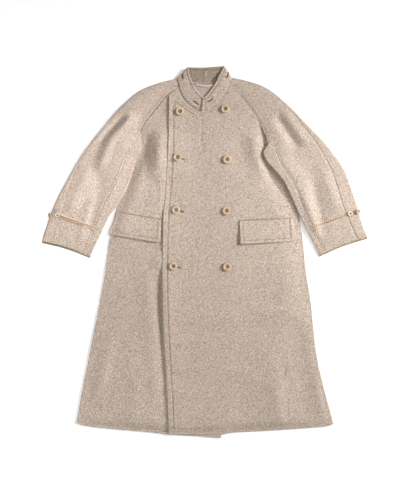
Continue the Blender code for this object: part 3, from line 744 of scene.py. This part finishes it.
def make_back(name):
    """The back, flat on the ground."""
    u, v = [spaced(size, *BACK_GRID) for size in BACK_SIZE]
    plan = patch(dense(BACK_HEM), dense(BACK_NECK), left_edge, right_edge, u, v)
    high = np.full(plan.shape[:2], CLOTH)
    return grid_mesh(name, shell(plan, high * 0, high), plan)


front_over = lay_cloth("front_over", make_front, LAP_HEM, LAP_NECK, lap_path, right_edge, True)
front_under = lay_cloth("front_under", make_front, UNDER_HEM, UNDER_NECK, left_edge, under_path, False)
back = lay_cloth("back", make_back)


# Sleeves
def at_rows(rows, t):
    """Sleeve measures at stations between the rows of a table."""
    table = np.array([tuple(r) for r in rows], float)
    index = np.arange(len(rows))
    path = dense([tuple(r)[:4] for r in rows], 16)
    fine = np.linspace(0, len(rows) - 1, len(path))
    ends = [np.interp(t, fine, path[:, k]) for k in range(4)]
    rest = [np.interp(t, index, table[:, k]) for k in range(4, 7)]
    return [e[:, None] for e in ends + rest]


class Tube:
    """A sleeve laid flat: stations along it, distances across it."""

    def __init__(self, rows, folds, seed, fold_step, crown, lean, edge_thin, seam_dip):
        self.rows, self.folds, self.seed = rows, folds, seed
        self.fold_step, self.crown, self.lean, self.edge_thin = fold_step, crown, lean, edge_thin
        self.seam_dip = seam_dip

    def at(self, t):
        """Take the measures at some stations."""
        self.t = t[:, None]
        ox, oy, ix, iy, self.over, self.under, self.ride = at_rows(self.rows, t)
        self.outer, self.inner = np.dstack([ox, oy]), np.dstack([ix, iy])
        self.width = np.hypot(ix - ox, iy - oy)
        middle = (self.outer + self.inner)[:, 0] / 2
        self.run = run_along(middle)[:, None]

    def plan(self, a):
        """Plan points at distances from the outer edge."""
        share = a / self.width
        p = self.outer + (self.inner - self.outer) * share[..., None]
        bow = CUFF_BOW * np.sin(math.pi * np.clip(share, 0, 1)) * smooth(self.t - (CUFF - 1))
        return p + np.dstack([np.zeros_like(share), bow])

    def bottom(self, a):
        """Height of the underside, which rides on the body near the inner edge."""
        return self.ride * RIDE_RAMP.at(a - self.width)

    def top(self, a):
        """Height of the upper side with its folds."""
        p = self.plan(a)
        loft = np.interp(self.t, *zip(*SLEEVE_LOFT))
        thin = self.edge_thin * THIN_RAMP.at(a - self.width) * smooth(self.t - NOTCH)
        z = self.bottom(a) + loft * (1 - thin)
        open_share = np.clip(TIP - self.t, 0, 1)
        seam_lay = FRONT_LAY + CLOTH + self.step()
        z = z + open_share * (seam_lay - loft) * smooth((a / self.width - 0.35) / 0.65)
        crown = np.sin(math.pi * np.clip(a / self.width, 0, 1) ** self.lean) * smooth(self.t / 3)
        z = z + self.crown * crown * (1 - 0.5 * open_share) * smooth((CUFF + 0.8 - self.t) / 4)
        fade = smooth((a - SLEEVE_ROUND) / FOLD_MARGIN) * smooth((self.width - a) / FOLD_MARGIN)
        x, y = p[..., 0], p[..., 1]
        return z + (fold_height(self.folds, x, y) + ripple(x, y, self.seed)) * fade

    def step(self):
        """Height of the sleeve's fold over the front just above the notch."""
        rise = smooth((self.t - NOTCH + 1.8) / 1.8) * (self.t <= NOTCH) + (self.t > NOTCH) * (TIP - self.t)
        return self.fold_step * np.clip(rise, 0, 1)

    def grain(self, a):
        """Cloth coordinates of the weave."""
        return np.dstack([a - self.width / 2, -self.run + 0 * a])


def stations(start, end, step, fine_start, fine_end):
    """Stations along a sleeve, close together at its ends."""
    edge = np.array([0, 0.004, 0.01, 0.02, 0.035, 0.06, 0.1])
    middle = np.arange(start + 0.1, end - 0.1, step)
    head = start + edge if fine_start else [start]
    tail = end - edge[::-1] if fine_end else [end]
    return np.unique(np.concatenate([head, middle, tail]))


def from_cuff(tube):
    """Distance of the stations from the cuff's edge."""
    return (CUFF - tube.t) * ROW_GAP


def make_sleeve_front(name, tube):
    """Sleeve front between the over-arm seam and the inner or raglan seam."""
    tube.at(stations(0, CUFF, 0.085, True, True))
    s = spaced(SLEEVE_WIDTH, *SLEEVE_ACROSS)[None]
    start, end = tube.over + SEAM_GAP, tube.width - tube.under - SEAM_GAP
    a = start + (end - start) * s
    plan = tube.plan(a)
    step = tube.step() * bell(end - a, STEP_WIDTH)
    low = tube.top(a) - CLOTH - step
    thick = edge_thick(CLOTH, from_cuff(tube)) + step
    closed = smooth((tube.t - NOTCH) * 2)
    inner_dip = tube.seam_dip + (INNER_SEAM.depth - tube.seam_dip) * closed
    dip = OVER_SEAM.at(a - start) + inner_dip * bell(end - a, INNER_SEAM.width)
    dip = dip + SLEEVE_STITCHING.at(end - a - SEAM_BAND) * closed
    thick = thick + SLEEVE_SWELL.at(end - a - SLEEVE_SWELL_AT) * closed
    return grid_mesh(name, shell(plan, low, low + thick - dip), tube.grain(a))


SHELF_POINTS = 12
TURN_POINTS = 15
FLOOR_POINTS = 36
CUFF_INSET = 0.44 * CLOTH
CUFF_END = Ramp(CUFF - 0.25, 0.25)


def wrap(tube, t, closed):
    """Outside and inside of a sleeve back over some stations."""
    tube.at(t)
    one = np.ones_like(tube.t)
    r = np.minimum(SLEEVE_ROUND, tube.width * 0.3)
    reach = np.maximum(tube.under, INNER_LEAST)
    tuck = np.minimum(INNER_ROUND, reach * 0.6)
    line = np.linspace(0, 1, SHELF_POINTS)[None]
    across = np.linspace(0, 1, FLOOR_POINTS)[None, 1:]
    angle = np.linspace(0, math.pi, TURN_POINTS)[None]
    turn_a, turn_z = r * (1 - np.sin(angle)), one * (0.5 + 0.5 * np.cos(angle))
    raised, flat = one * np.ones((1, SHELF_POINTS - 1)), one * np.zeros((1, FLOOR_POINTS - 1))
    shelf = tube.over + (r - tube.over) * line[:, :-1]
    floor_end = tube.width - (tuck if closed else SEAM_GAP)
    parts = [(shelf, raised), (turn_a, turn_z), (r + (floor_end - r) * across, flat)]
    if closed:
        parts += [(tube.width - tuck * (1 - np.sin(angle[:, 1:])), 1 - turn_z[:, 1:])]
        parts += [(tube.width - tuck - (reach - tuck) * line[:, 1:], raised)]
    a = np.hstack([p[0] for p in parts])
    lift = np.hstack([p[1] for p in parts])
    low, high = tube.bottom(a), tube.top(a)
    dip = BACK_SEAM.at(a - tube.over) * (lift == 1)
    if closed:
        dip = dip + BACK_INNER_SEAM.at(tube.width - tube.under - a) * (lift == 1)
    z = low + (high - low) * lift - dip
    da, dz = np.gradient(a, axis=1), np.gradient(z, axis=1)
    size = np.maximum(np.hypot(da, dz), 1e-6)
    out_a, out_z = dz / size, -da / size
    inset = CUFF_INSET * (1 - rounded(from_cuff(tube)) if closed else 0.0)
    lower = CUFF_LOWER * CUFF_END.at(tube.t) * (lift < 0.5)
    sides = []
    for depth in (inset, CLOTH - inset):
        grid = np.dstack([tube.plan(a - out_a * depth), z - out_z * depth])
        grid[..., 1] -= lower
        sides.append(grid)
    return *sides, tube.grain(a)


def make_sleeve_back(name, tube):
    """Sleeve back: open above the underarm, and round both edges below it."""
    upper = wrap(tube, stations(0, NOTCH, 0.1, True, False), False)
    lower = wrap(tube, stations(NOTCH, CUFF, 0.09, True, True), True)
    meshes = [grid_mesh(name, part[:2], part[2]) for part in (upper, lower)]
    mesh = join_meshes(name, meshes)
    # The inner faces of the lower part, seen at the cuff opening, take the darker tweed: painted shade.
    count = (lower[0].shape[0] - 1) * (lower[0].shape[1] - 1)
    mark_painted_shade(mesh, count, len(meshes[0].polygons))
    return mesh


left_tube = Tube(LEFT_SLEEVE, LEFT_SLEEVE_FOLDS, seed=4, fold_step=3.0, crown=6.0, lean=0.62,
                 edge_thin=0.45, seam_dip=RAGLAN_LEFT.depth)
right_tube = Tube(RIGHT_SLEEVE, RIGHT_SLEEVE_FOLDS, seed=6, fold_step=8.0, crown=0.0, lean=1.0,
                  edge_thin=0.2, seam_dip=RAGLAN_RIGHT.depth)
TUBES = {"left": left_tube, "right": right_tube}
sleeves = {}
for side, tube in TUBES.items():
    upper = lay_cloth(f"sleeve_front_{side}", make_sleeve_front, tube)
    lower = lay_cloth(f"sleeve_back_{side}", make_sleeve_back, tube, materials=[WOOL, WOOL_PAINTED_SHADE])
    sleeves[side] = (upper, lower)


# Collar, neck lining and hanger loop
COLLAR_ROUND = 1.8
COLLAR_STITCHING = Crease(1.05, 1.8)
COLLAR_SWELL = Crease(0.25, 2.4)
COLLAR_SEAM = Crease(0.6, 2.0)
COLLAR_LEAST = 0.15
LINING_RISE = 2.6
LINING_SEAM = Ramp(508.0, -16.0)
LINING_SIDE = Ramp(-70.0, 90.0)
LINING_RIPPLE = 0.25
HANGER_LOW = CLOTH + LAYER_GAP + LINING_CLOTH + LAYER_GAP + 1.4
HANGER_RISE = 2.2
HANGER_POINTS = 60


def make_collar(name):
    """Stand collar as a thick band with a stitched edge."""
    foot = dense([b[:2] + (b.lay, b.stand) for b in COLLAR], COLLAR_STEPS)
    seam, lay, stand = foot[:, :2], np.maximum(foot[:, 2:3], 0.0), foot[:, 3:]
    edge = dense([b[2:4] for b in COLLAR], COLLAR_STEPS)
    s = np.array(COLLAR_SHARES)[None]
    plan = seam[:, None] * (1 - s[..., None]) + edge[:, None] * s[..., None]
    middle = np.dstack([plan, lay + COLLAR_CLOTH / 2 + stand * s])
    normal = np.cross(np.gradient(middle, axis=1), np.gradient(middle, axis=0))
    normal /= np.maximum(np.linalg.norm(normal, axis=2, keepdims=True), 1e-9)
    height = np.linalg.norm(edge - seam, axis=1)[:, None]
    run = run_along((seam + edge) / 2)[:, None]
    free = np.minimum((1 - s) * height, np.minimum(run, run[-1] - run))
    half = edge_thick(COLLAR_CLOTH / 2, free, COLLAR_ROUND, 0.1)
    half = half - COLLAR_STITCHING.at(free - COLLAR_BAND) + COLLAR_SWELL.at(free - COLLAR_BAND / 2)
    half = np.maximum(half - COLLAR_SEAM.at(s * height), COLLAR_LEAST)[..., None]
    grain = np.dstack([run + 0 * free, s * height])
    mesh = grid_mesh(name, (middle + normal * half, middle - normal * half), grain)
    # The collar's inner faces take the darker tweed: painted shade.
    mark_painted_shade(mesh, (len(seam) - 1) * (len(COLLAR_SHARES) - 1))
    return mesh


def make_lining(name):
    """The lining that shows in the neck."""
    u, v = np.linspace(0, 1, 60), np.linspace(0, 1, 50)[:, None, None]
    plan = at_shares(dense(LINING_FOOT), u)[None] * (1 - v) + at_shares(dense(LINING_TOP), u)[None] * v
    x, y = plan[..., 0], plan[..., 1]
    low = CLOTH + LAYER_GAP + LINING_RISE * LINING_SEAM.at(y) * LINING_SIDE.at(x)
    high = low + LINING_CLOTH + LINING_RIPPLE * np.sin(x / 9.0 + y / 21.0)
    return grid_mesh(name, shell(plan, low, high), plan)


def make_hanger(name):
    """A narrow tape that rises in its middle."""
    path = at_shares(dense(HANGER), np.linspace(0, 1, HANGER_POINTS))
    along = directions(path)
    side = np.stack([-along[:, 1], along[:, 0]], 1)
    s = np.linspace(-0.5, 0.5, 13) * HANGER_WIDTH
    plan = path[:, None] + side[:, None] * s[None, :, None]
    rise = HANGER_RISE * np.sin(np.linspace(0, math.pi, HANGER_POINTS))[:, None]
    low = np.full(plan.shape[:2], HANGER_LOW) + rise
    high = low + edge_thick(TAPE_CLOTH, HANGER_WIDTH / 2 - np.abs(s), 1.2, 0.3)[None]
    return grid_mesh(name, shell(plan, low, high), plan)


collar = lay_cloth("collar", make_collar, materials=[WOOL, WOOL_PAINTED_SHADE])
neck_lining = lay_cloth("neck_lining", make_lining, materials=[LINING], slot="lining")
hanger = place("hanger_loop_tape", make_hanger("hanger_loop_tape"), [TAPE], "hanger_loop")

# Pocket flaps
FLAP_ROUND = 2.6
FLAP_SWELL = 0.45
FLAP_STITCHING = Crease(1.1, 1.7)
FLAP_SEAM = Crease(1.6, 2.2)
FLAP_OUTER = 0.35
front_trees = [surface_of(front_over), surface_of(front_under)]


def corners_of(table):
    """The four corners of a flap as plan vectors."""
    return [np.array(tuple(c), float) for c in table]


def make_flap(name, table):
    """A pocket flap laid on its front, sewn along the top, with rounded lower corners."""
    tl, tr, lr, ll = corners_of(table)
    width, depth = np.linalg.norm(tr - tl), np.linalg.norm(ll - tl)
    u = spaced(width, *FLAP_ACROSS)[None, :, None]
    v = spaced(depth, *FLAP_DOWN)[:, None, None]
    drop = v[..., 0] * depth
    bend = np.clip(1 - (depth - drop) / FLAP_CORNER, 0, 1)
    inset = FLAP_CORNER * (1 - np.sqrt(1 - bend ** 2)) / width
    share = inset[..., None] + (1 - 2 * inset[..., None]) * u
    start, end = tl * (1 - v) + ll * v, tr * (1 - v) + lr * v
    plan = start * (1 - share) + end * share
    share = share[..., 0]
    free = np.minimum(np.minimum(share, 1 - share) * width, depth - drop)
    thick = edge_thick(FLAP_CLOTH, free, FLAP_ROUND)
    thick = thick + FLAP_SWELL * np.sin(np.clip(free / FLAP_BAND, 0, 1) * math.pi)
    thick = thick - FLAP_STITCHING.at(free - FLAP_BAND) - FLAP_SEAM.at(drop)
    inner = share if table[0].x < 0 else 1 - share
    stand = FLAP_STAND * smooth(drop / depth) * (FLAP_OUTER + (1 - FLAP_OUTER) * smooth(inner))
    low = heights_on(front_trees, plan[..., 0], plan[..., 1], SIDE_LAY + CLOTH) + LAYER_GAP + stand
    return grid_mesh(name, shell(plan, low, low + thick), plan)


flaps = {}
for side, table in FLAPS.items():
    flaps[side] = lay_cloth(f"flap_{side}", make_flap, table)


# Buttons
STRAIGHT = Matrix.Identity(3)


def bridge(work, rings):
    """Faces between rings of points, and a face over each end."""
    for low, high in zip(rings, rings[1:]):
        for k in range(len(low)):
            n = (k + 1) % len(low)
            work.faces.new((low[k], low[n], high[n], high[k]))
    work.faces.new(rings[0][::-1])
    work.faces.new(rings[-1])


def ring_of(work, centre, radius, sides, turn):
    """A ring of points round a centre."""
    angles = [math.tau * k / sides for k in range(sides)]
    return [work.verts.new(centre + turn @ Vector((math.cos(t), math.sin(t), 0)) * radius) for t in angles]


def turned_mesh(name, profile, segments):
    """A turned solid from its outline, top to bottom."""
    work = bmesh.new()
    rings = [ring_of(work, Vector((0, 0, z)) * MM, r * MM, segments, STRAIGHT) for r, z in profile]
    bridge(work, rings[::-1])
    return work_mesh(name, work)


# Radius and height of a button's outline and parts, as shares of its diameter
BUTTON_OUTLINE = [
    (0.02, 0.112), (0.12, 0.112), (0.19, 0.115), (0.215, 0.122), (0.235, 0.138), (0.26, 0.158),
    (0.30, 0.172), (0.35, 0.180), (0.40, 0.178), (0.44, 0.168), (0.475, 0.146), (0.493, 0.118),
    (0.50, 0.088), (0.494, 0.058), (0.475, 0.032), (0.44, 0.014), (0.38, 0.003), (0.30, 0.0), (0.05, 0.0),
]
HOLE_RADIUS = 0.036
HOLE_RING = 0.095
HOLE_ENDS = (0.3, -0.1)
DISH_RADIUS = 0.237
# Shares of the diameter past which a button's faces take the near-black rim of painted shadow
SHADOW_RIM_FRONT = 0.458
SHADOW_RIM_CUFF = 0.445
THREAD_LEVEL = 0.125
SHANK_RADIUS = 0.085

# Sewing thread in millimetres, and the angle in degrees from which a button's edge is sharp
THREAD_RADIUS = 0.45
THREAD_SHIFT = 0.35
SHARP_ANGLE = 40


def hole_spot(k, diameter, z=0.0):
    """Middle of one of a button's four holes."""
    angle = math.tau * (k + 0.5) / 4
    reach = HOLE_RING * diameter
    return Vector((reach * math.cos(angle), reach * math.sin(angle), z)) * MM


def make_button(name, diameter, lift, rim, shadow_rim_from):
    """A turned button with four holes."""
    profile = [(r * diameter, h * diameter + lift) for r, h in BUTTON_OUTLINE]
    body = add_object(name, turned_mesh(name, profile, 56))
    hole = [(HOLE_RADIUS * diameter, h * diameter + lift) for h in HOLE_ENDS]
    cutters = []
    for k in range(4):
        spot = Matrix.Translation(hole_spot(k, diameter))
        cutter = add_object(name + "_hole", turned_mesh(name + "_hole", hole, 16), spot)
        cut = body.modifiers.new("Hole", "BOOLEAN")
        cut.operation = "DIFFERENCE"
        cut.solver = "EXACT"
        cut.object = cutter
        cutters.append(cutter)
    bpy.context.view_layer.update()
    made = bpy.data.meshes.new_from_object(body.evaluated_get(bpy.context.evaluated_depsgraph_get()))
    made.name = name
    for item in cutters + [body]:
        bpy.data.objects.remove(item, do_unlink=True)
    made.materials.clear()
    for m in (rim, HORN_DARK, HORN_PAINTED_SHADOW):
        made.materials.append(m)
    for face in made.polygons:
        radius = math.hypot(face.center.x, face.center.y) / MM
        face.material_index = 1 if radius < DISH_RADIUS * diameter and face.center.z / MM > lift else 0
        # Faces near the outer edge take the near-black rim: painted shadow round the button.
        if radius > shadow_rim_from * diameter:
            face.material_index = 2
        face.use_smooth = True
    made.set_sharp_from_angle(angle=math.radians(SHARP_ANGLE))
    return made


# Share of a stitch's length, and of its radius there
STITCH_FORM = ((0.0, 0.35), (0.16, 0.9), (0.5, 1.0), (0.84, 0.9), (1.0, 0.35))


def capsule(work, a, b, radius, sides=6):
    """A stitch: a short rounded thread from a to b."""
    axis = b - a
    if axis.length < 1e-9:
        return
    turn = axis.to_track_quat("Z", "Y").to_matrix()
    rings = [ring_of(work, a + axis * s, radius * grow, sides, turn) for s, grow in STITCH_FORM]
    bridge(work, rings)


def smooth_mesh(name, work):
    """A smooth mesh out of collected faces."""
    mesh = work_mesh(name, work)
    mesh.shade_smooth()
    return mesh


def place_threads(name, work, material):
    """Put collected stitches on the frame."""
    return place(name, smooth_mesh(name, work), [material], None)


front_mesh = make_button("button_front", FRONT_BUTTON, SHANK_LENGTH, HORN, SHADOW_RIM_FRONT)
cuff_mesh = make_button("button_cuff", CUFF_BUTTON, CUFF_LIFT, HORN_PALE, SHADOW_RIM_CUFF)
# The edge-on cuff button takes the darker horn of the front buttons, not the pale cuff horn: painted
# shade.
cuff_flat_mesh = make_button("button_cuff_edge", CUFF_BUTTON, SHANK_LENGTH, HORN, SHADOW_RIM_CUFF)
threads = bmesh.new()


def add_button(node, mesh, diameter, lift, matrix):
    """A button, its sewing thread through the holes and its shank."""
    place(node + "_turned", mesh, (), node, matrix)
    level = lift + THREAD_LEVEL * diameter
    for k in (0, 2):
        for shift in (-THREAD_SHIFT, THREAD_SHIFT):
            ends = [hole_spot(n, diameter, level) + Vector((0, shift * MM, 0)) for n in (k, k + 1)]
            capsule(threads, matrix @ ends[0], matrix @ ends[1], THREAD_RADIUS * MM)
    foot, head = Vector((0, 0, -0.2)) * MM, Vector((0, 0, lift + 0.6)) * MM
    capsule(threads, matrix @ foot, matrix @ head, SHANK_RADIUS * diameter * MM, 12)


def moved_to(x, y, z):
    """A move to a place in millimetres."""
    return Matrix.Translation(Vector((x, y, z)) * MM)


for number, spot in enumerate(FRONT_SPOTS, 1):
    seat = max(top_of(front_trees, spot.x + dx, spot.y + dy) for dx in (-3, 0, 3) for dy in (-3, 0, 3))
    spin = Matrix.Rotation(0.5 * number, 4, "Z")
    lean = Matrix.Rotation(math.radians(2.5 * math.sin(2.3 * number)), 4, "Y")
    add_button(f"button_front_{number}", front_mesh, FRONT_BUTTON, SHANK_LENGTH,
               moved_to(spot.x, spot.y, seat) @ lean @ spin)

# Cuff loops and cuff buttons
CORD_STEP = 0.8
CORD_SIDES = 24
CORD_WAIST = 0.28
# Limits of twist and of flank height under which cord faces take the painted shade
CORD_GROOVE_SHADE = 0.38
CORD_FLANK_SHADE = 0.5
CORD_SPACING = CORD / 2 + 0.6
CORD_DIVE = 1.6
CORD_END = Ramp(7.0, -7.0)
FAR_SEAT_IN = 4.0
FAR_SINK = 1.0
FAR_OUT = 1.5
sleeve_trees = {side: [surface_of(p) for p in parts] for side, parts in sleeves.items()}


def cord_mesh(name, path, radius, pitch):
    """A twisted cord along a path in millimetres."""
    run = run_along(path)
    even = np.arange(0, run[-1], CORD_STEP)
    line = np.stack([np.interp(even, run, path[:, k]) for k in range(3)], 1)
    along = directions(line)
    side = np.cross(along, np.array([0.0, 0.0, 1.0]))
    side /= np.linalg.norm(side, axis=1, keepdims=True)
    over = np.cross(side, along)
    angle = np.linspace(0, math.tau, CORD_SIDES, endpoint=False)[None]
    twist = np.abs(np.cos(angle - math.tau * even[:, None] / pitch))
    end = np.minimum(even, run[-1] - even)[:, None]
    grow = edge_thick(radius * (1 - CORD_WAIST + CORD_WAIST * twist), end, radius, 0.35)
    out = np.cos(angle)[..., None] * side[:, None] + np.sin(angle)[..., None] * over[:, None]
    work = bmesh.new()
    rings = line[:, None] + grow[..., None] * out
    bridge(work, [[work.verts.new(Vector(p) * MM) for p in ring] for ring in rings])
    bmesh.ops.recalc_face_normals(work, faces=work.faces)
    work.faces.ensure_lookup_table()
    # Faces in the grooves between strands and on the lower flanks take the dark brown: painted shade.
    dark = (twist < CORD_GROOVE_SHADE) | (np.sin(angle) < CORD_FLANK_SHADE)
    for row, column in zip(*np.nonzero(dark[:-1])):
        work.faces[row * CORD_SIDES + column].material_index = 1
    return smooth_mesh(name, work)


def loop_path(ends, trees):
    """Middle of a cord laid double from the sleeve seam and round the button's shank."""
    start, end = [np.array(tuple(p), float) for p in ends]
    run = np.linalg.norm(end - start)
    along = (end - start) / run
    side = np.array([-along[1], along[0]])
    strand = [(run * k / 9, CORD_SPACING) for k in range(8)]
    strand += [(run - LOOP_EYE - CORD * 0.7, CORD_SPACING + LOOP_SPREAD)]
    turn = [(run + LOOP_EYE * math.cos(t), LOOP_EYE * math.sin(t)) for t in EYE_ANGLES]
    plan = dense(strand + turn + [(a, -s) for a, s in strand[::-1]], 8)
    p = start + plan[:, :1] * along + plan[:, 1:] * side
    z = heights_on(trees, p[:, 0], p[:, 1]) + CORD / 2 - CORD_DIVE * CORD_END.at(plan[:, 0])
    return np.column_stack([p, z])


for side, ends in LOOPS.items():
    trees = sleeve_trees[side]
    path = loop_path(ends, trees)
    name = f"cuff_loop_{side}_cord"
    loop = place(name, cord_mesh(name, path, CORD / 2, CORD_PITCH), [PEACH, PEACH_PAINTED_SHADE],
                 f"cuff_loop_{side}")
    near, far = CUFF_SPOTS[side]
    seat = top_of(trees, near.x, near.y)
    add_button(f"button_cuff_{side}_1", cuff_mesh, CUFF_BUTTON, CUFF_LIFT, moved_to(near.x, near.y, seat))
    lean = Matrix.Rotation(math.radians(far.tilt), 4, "Y")
    out = 1 if far.tilt > 0 else -1
    far_seat = top_of(trees, far.x - out * FAR_SEAT_IN, far.y) - FAR_SINK
    add_button(f"button_cuff_{side}_2", cuff_flat_mesh, CUFF_BUTTON, SHANK_LENGTH,
               moved_to(far.x + out * FAR_OUT, far.y, far_seat) @ lean)

place_threads("button_threads", threads, THREAD)

# Buttonholes
SLIT_STEP = 0.9
SLIT_RISE = 0.15
SLIT_OVERLAP = 0.4
SLIT_WIDTH = 1.3
BACK_SLIT_WIDTH = 3.2
WELT_NEAR = 0.7
WELT_NEAR_RISE = 0.35
WELT_FAR = 2.3
STITCH_RISE = 0.1
WELT_RADIUS = 0.42


def on_cloth(trees, spot, rise):
    """A place in metres a little above the cloth."""
    return Vector((*spot, top_of(trees, *spot) + rise)) * MM


def work_buttonholes(table, trees, slits, welts, width):
    """Worked buttonholes: a near-black slit each, painted shade of the opening, between two rows of close
    stitches.
    """
    for slit in table:
        a, b = np.array([slit.x0, slit.y0]), np.array([slit.x1, slit.y1])
        length = np.linalg.norm(b - a)
        along = (b - a) / length
        side = np.array([-along[1], along[0]])
        count = int(length / SLIT_STEP)
        line = [a + along * length * k / count for k in range(count + 1)]
        for p, q in zip(line, line[1:]):
            start, end = on_cloth(trees, p, SLIT_RISE), on_cloth(trees, q, SLIT_RISE)
            capsule(slits, start, end + (end - start) * SLIT_OVERLAP, width / 2 * MM)
            for out in (-side, side):
                near = on_cloth(trees, p + out * WELT_NEAR, WELT_NEAR_RISE)
                far = on_cloth(trees, p + out * WELT_FAR, STITCH_RISE)
                capsule(welts, near, far, WELT_RADIUS * MM)


collar_tree = [surface_of(collar)]
slits, welts = bmesh.new(), bmesh.new()
work_buttonholes(FRONT_SLITS, front_trees, slits, welts, SLIT_WIDTH)
work_buttonholes(COLLAR_SLITS, collar_tree, slits, welts, SLIT_WIDTH)
place_threads("buttonhole_slits", slits, SLIT_PAINTED_SHADE)
place_threads("buttonhole_stitches", welts, THREAD)
slits, welts = bmesh.new(), bmesh.new()
work_buttonholes([BACK_SLIT], collar_tree, slits, welts, BACK_SLIT_WIDTH)
place_threads("collar_back_slit", slits, SLIT_LIGHT)
place_threads("collar_back_stitches", welts, THREAD)

# Stitching
STITCH = 3.4
STITCH_GAP = 1.2
STITCH_THREAD = 1.7
LAP_TOP_END = -22.0
LINING_BAND = 3.6
stitches = bmesh.new()


def sew(path, trees):
    """A row of stitches along a plan path on the cloth."""
    run = length_of(path)
    starts = np.arange(0.0, run - STITCH, STITCH + STITCH_GAP)
    for p, q in zip(at_shares(path, starts / run), at_shares(path, (starts + STITCH) / run)):
        ends = [on_cloth(trees, spot, STITCH_RISE) for spot in (p, q)]
        capsule(stitches, *ends, STITCH_THREAD / 2 * MM)


def moved_in(path, by):
    """A plan path moved to the right of its direction."""
    along = directions(path)
    return path + np.stack([along[:, 1], -along[:, 0]], 1) * by


def between(path, axis, low, high):
    """The part of a path between two values of a coordinate."""
    return path[(path[:, axis] > low) & (path[:, axis] < high)]


foot, head = LAP_EDGE[0], LAP_EDGE[-1]
sew(between(moved_in(lap_path, EDGE_BAND), 1, foot.y + EDGE_BAND, head.y - EDGE_BAND), front_trees)
sew(between(moved_in(dense(LAP_NECK), EDGE_BAND), 0, head.x + EDGE_BAND, LAP_TOP_END), front_trees)
for side, table in FLAPS.items():
    tl, tr, lr, ll = corners_of(table)
    tree = [surface_of(flaps[side])]
    inset = FLAP_BAND * (tr - tl) / np.linalg.norm(tr - tl)
    rise = FLAP_BAND * (ll - tl) / np.linalg.norm(ll - tl)
    sew(np.array([tl + rise * 0.1, tr + rise * 0.1]), tree)
    sew(np.array([tl - rise * 0.12, tr - rise * 0.12]), front_trees)
    turns = [tl + inset + rise * 0.4, ll + inset - rise, lr - inset - rise, tr - inset + rise * 0.4]
    for a, b in zip(turns, turns[1:]):
        sew(np.array([a, b]), tree)
collar_seam, collar_edge = dense([b[:2] for b in COLLAR]), dense([b[2:4] for b in COLLAR])
collar_height = np.linalg.norm(collar_edge - collar_seam, axis=1)[:, None]
sew(collar_edge + (collar_seam - collar_edge) * COLLAR_BAND / collar_height, collar_tree)
for side, tube in TUBES.items():
    tube.at(np.linspace(TIP, CUFF - 0.1, 80))
    sew(tube.plan(tube.width - tube.under - SEAM_BAND)[:, 0], sleeve_trees[side])
    tube.at(np.linspace(1.0, NOTCH - 0.1, 60))
    sew(tube.plan(tube.width - SEAM_BAND)[:, 0], sleeve_trees[side])
left_tube.at(np.linspace(0.6, NOTCH - 0.1, 60))
sew(left_tube.plan(left_tube.width - 0.2)[:, 0], sleeve_trees["left"] + front_trees)
sew(dense(LINING_TOP) - np.array([0.0, LINING_BAND]), [surface_of(neck_lining)])
place_threads("topstitches", stitches, STITCH_DARK)

# Columns of the flat cut of a piece of cloth as it shows, in metres and square metres; no cuts are listed
Cut = namedtuple("Cut", "piece width length area held rests_on carries", defaults=[()])

# Stage, light and camera
FLOOR_REACH = 20.0
FLOOR_LEVEL = -0.0006
floor_mesh = bpy.data.meshes.new("floor")
FLOOR_SIGNS = ((-1, -1), (1, -1), (1, 1), (-1, 1))
floor_corners = [(x * FLOOR_REACH, y * FLOOR_REACH, FLOOR_LEVEL) for x, y in FLOOR_SIGNS]
floor_mesh.from_pydata(floor_corners, [], [(0, 1, 2, 3)])
floor = add_object("floor", floor_mesh)
floor.data.materials.append(plain("white_floor", (0.95, 0.95, 0.95), 0.9))
lit = floor.data.materials[0].node_tree.nodes["Principled BSDF"]
socket(lit, "Emission Color", (1, 1, 1, 1))
socket(lit, "Emission Strength", 0.22)


def soft_light(row):
    """A square soft light aimed at the coat."""
    lamp = bpy.data.lights.new(row.name, "AREA")
    lamp.energy = row.energy
    lamp.size = row.size
    lamp.spread = math.radians(row.spread)
    item = add_object(row.name, lamp)
    item.location = row.spot
    item.rotation_euler = (Vector(row.aim) - Vector(row.spot)).to_track_quat("-Z", "Y").to_euler()


# Places in metres, energy in watts and spread in degrees
Lamp = namedtuple("Lamp", "name spot energy size aim spread")
MIDDLE = (0.0, 0.0, 0.0)
LAMPS = [
    Lamp("light_right", (5.9, 1.95, 3.2), 605, 1.7, MIDDLE, 180),
    Lamp("light_left_sleeve", (0.3, 0.35, 1.7), 0.34, 0.3, (-0.41, 0.23, 0.0), 24),
    Lamp("light_right_sleeve", (1.3, 0.4, 1.5), 0.36, 0.3, (0.41, 0.19, 0.0), 28),
    Lamp("light_left", (-1.25, -0.52, 0.6), 6.2, 0.6, MIDDLE, 180),
    Lamp("light_over", (0.0, -0.5, 3.4), 24.5, 1.6, MIDDLE, 180),
]
for row in LAMPS:
    soft_light(row)
world = bpy.data.worlds.new("studio")
world.use_nodes = True
socket(world.node_tree.nodes["Background"], "Color", (1, 1, 1, 1))
socket(world.node_tree.nodes["Background"], "Strength", 0.09)
bpy.context.scene.world = world
bpy.context.scene.view_settings.view_transform = "Standard"

lens = bpy.data.cameras.new("camera")
lens.lens = 96
lens.clip_end = 50
camera = add_object("camera", lens)
camera.location = (-0.0132, 0.006, 4.0)
bpy.context.scene.camera = camera
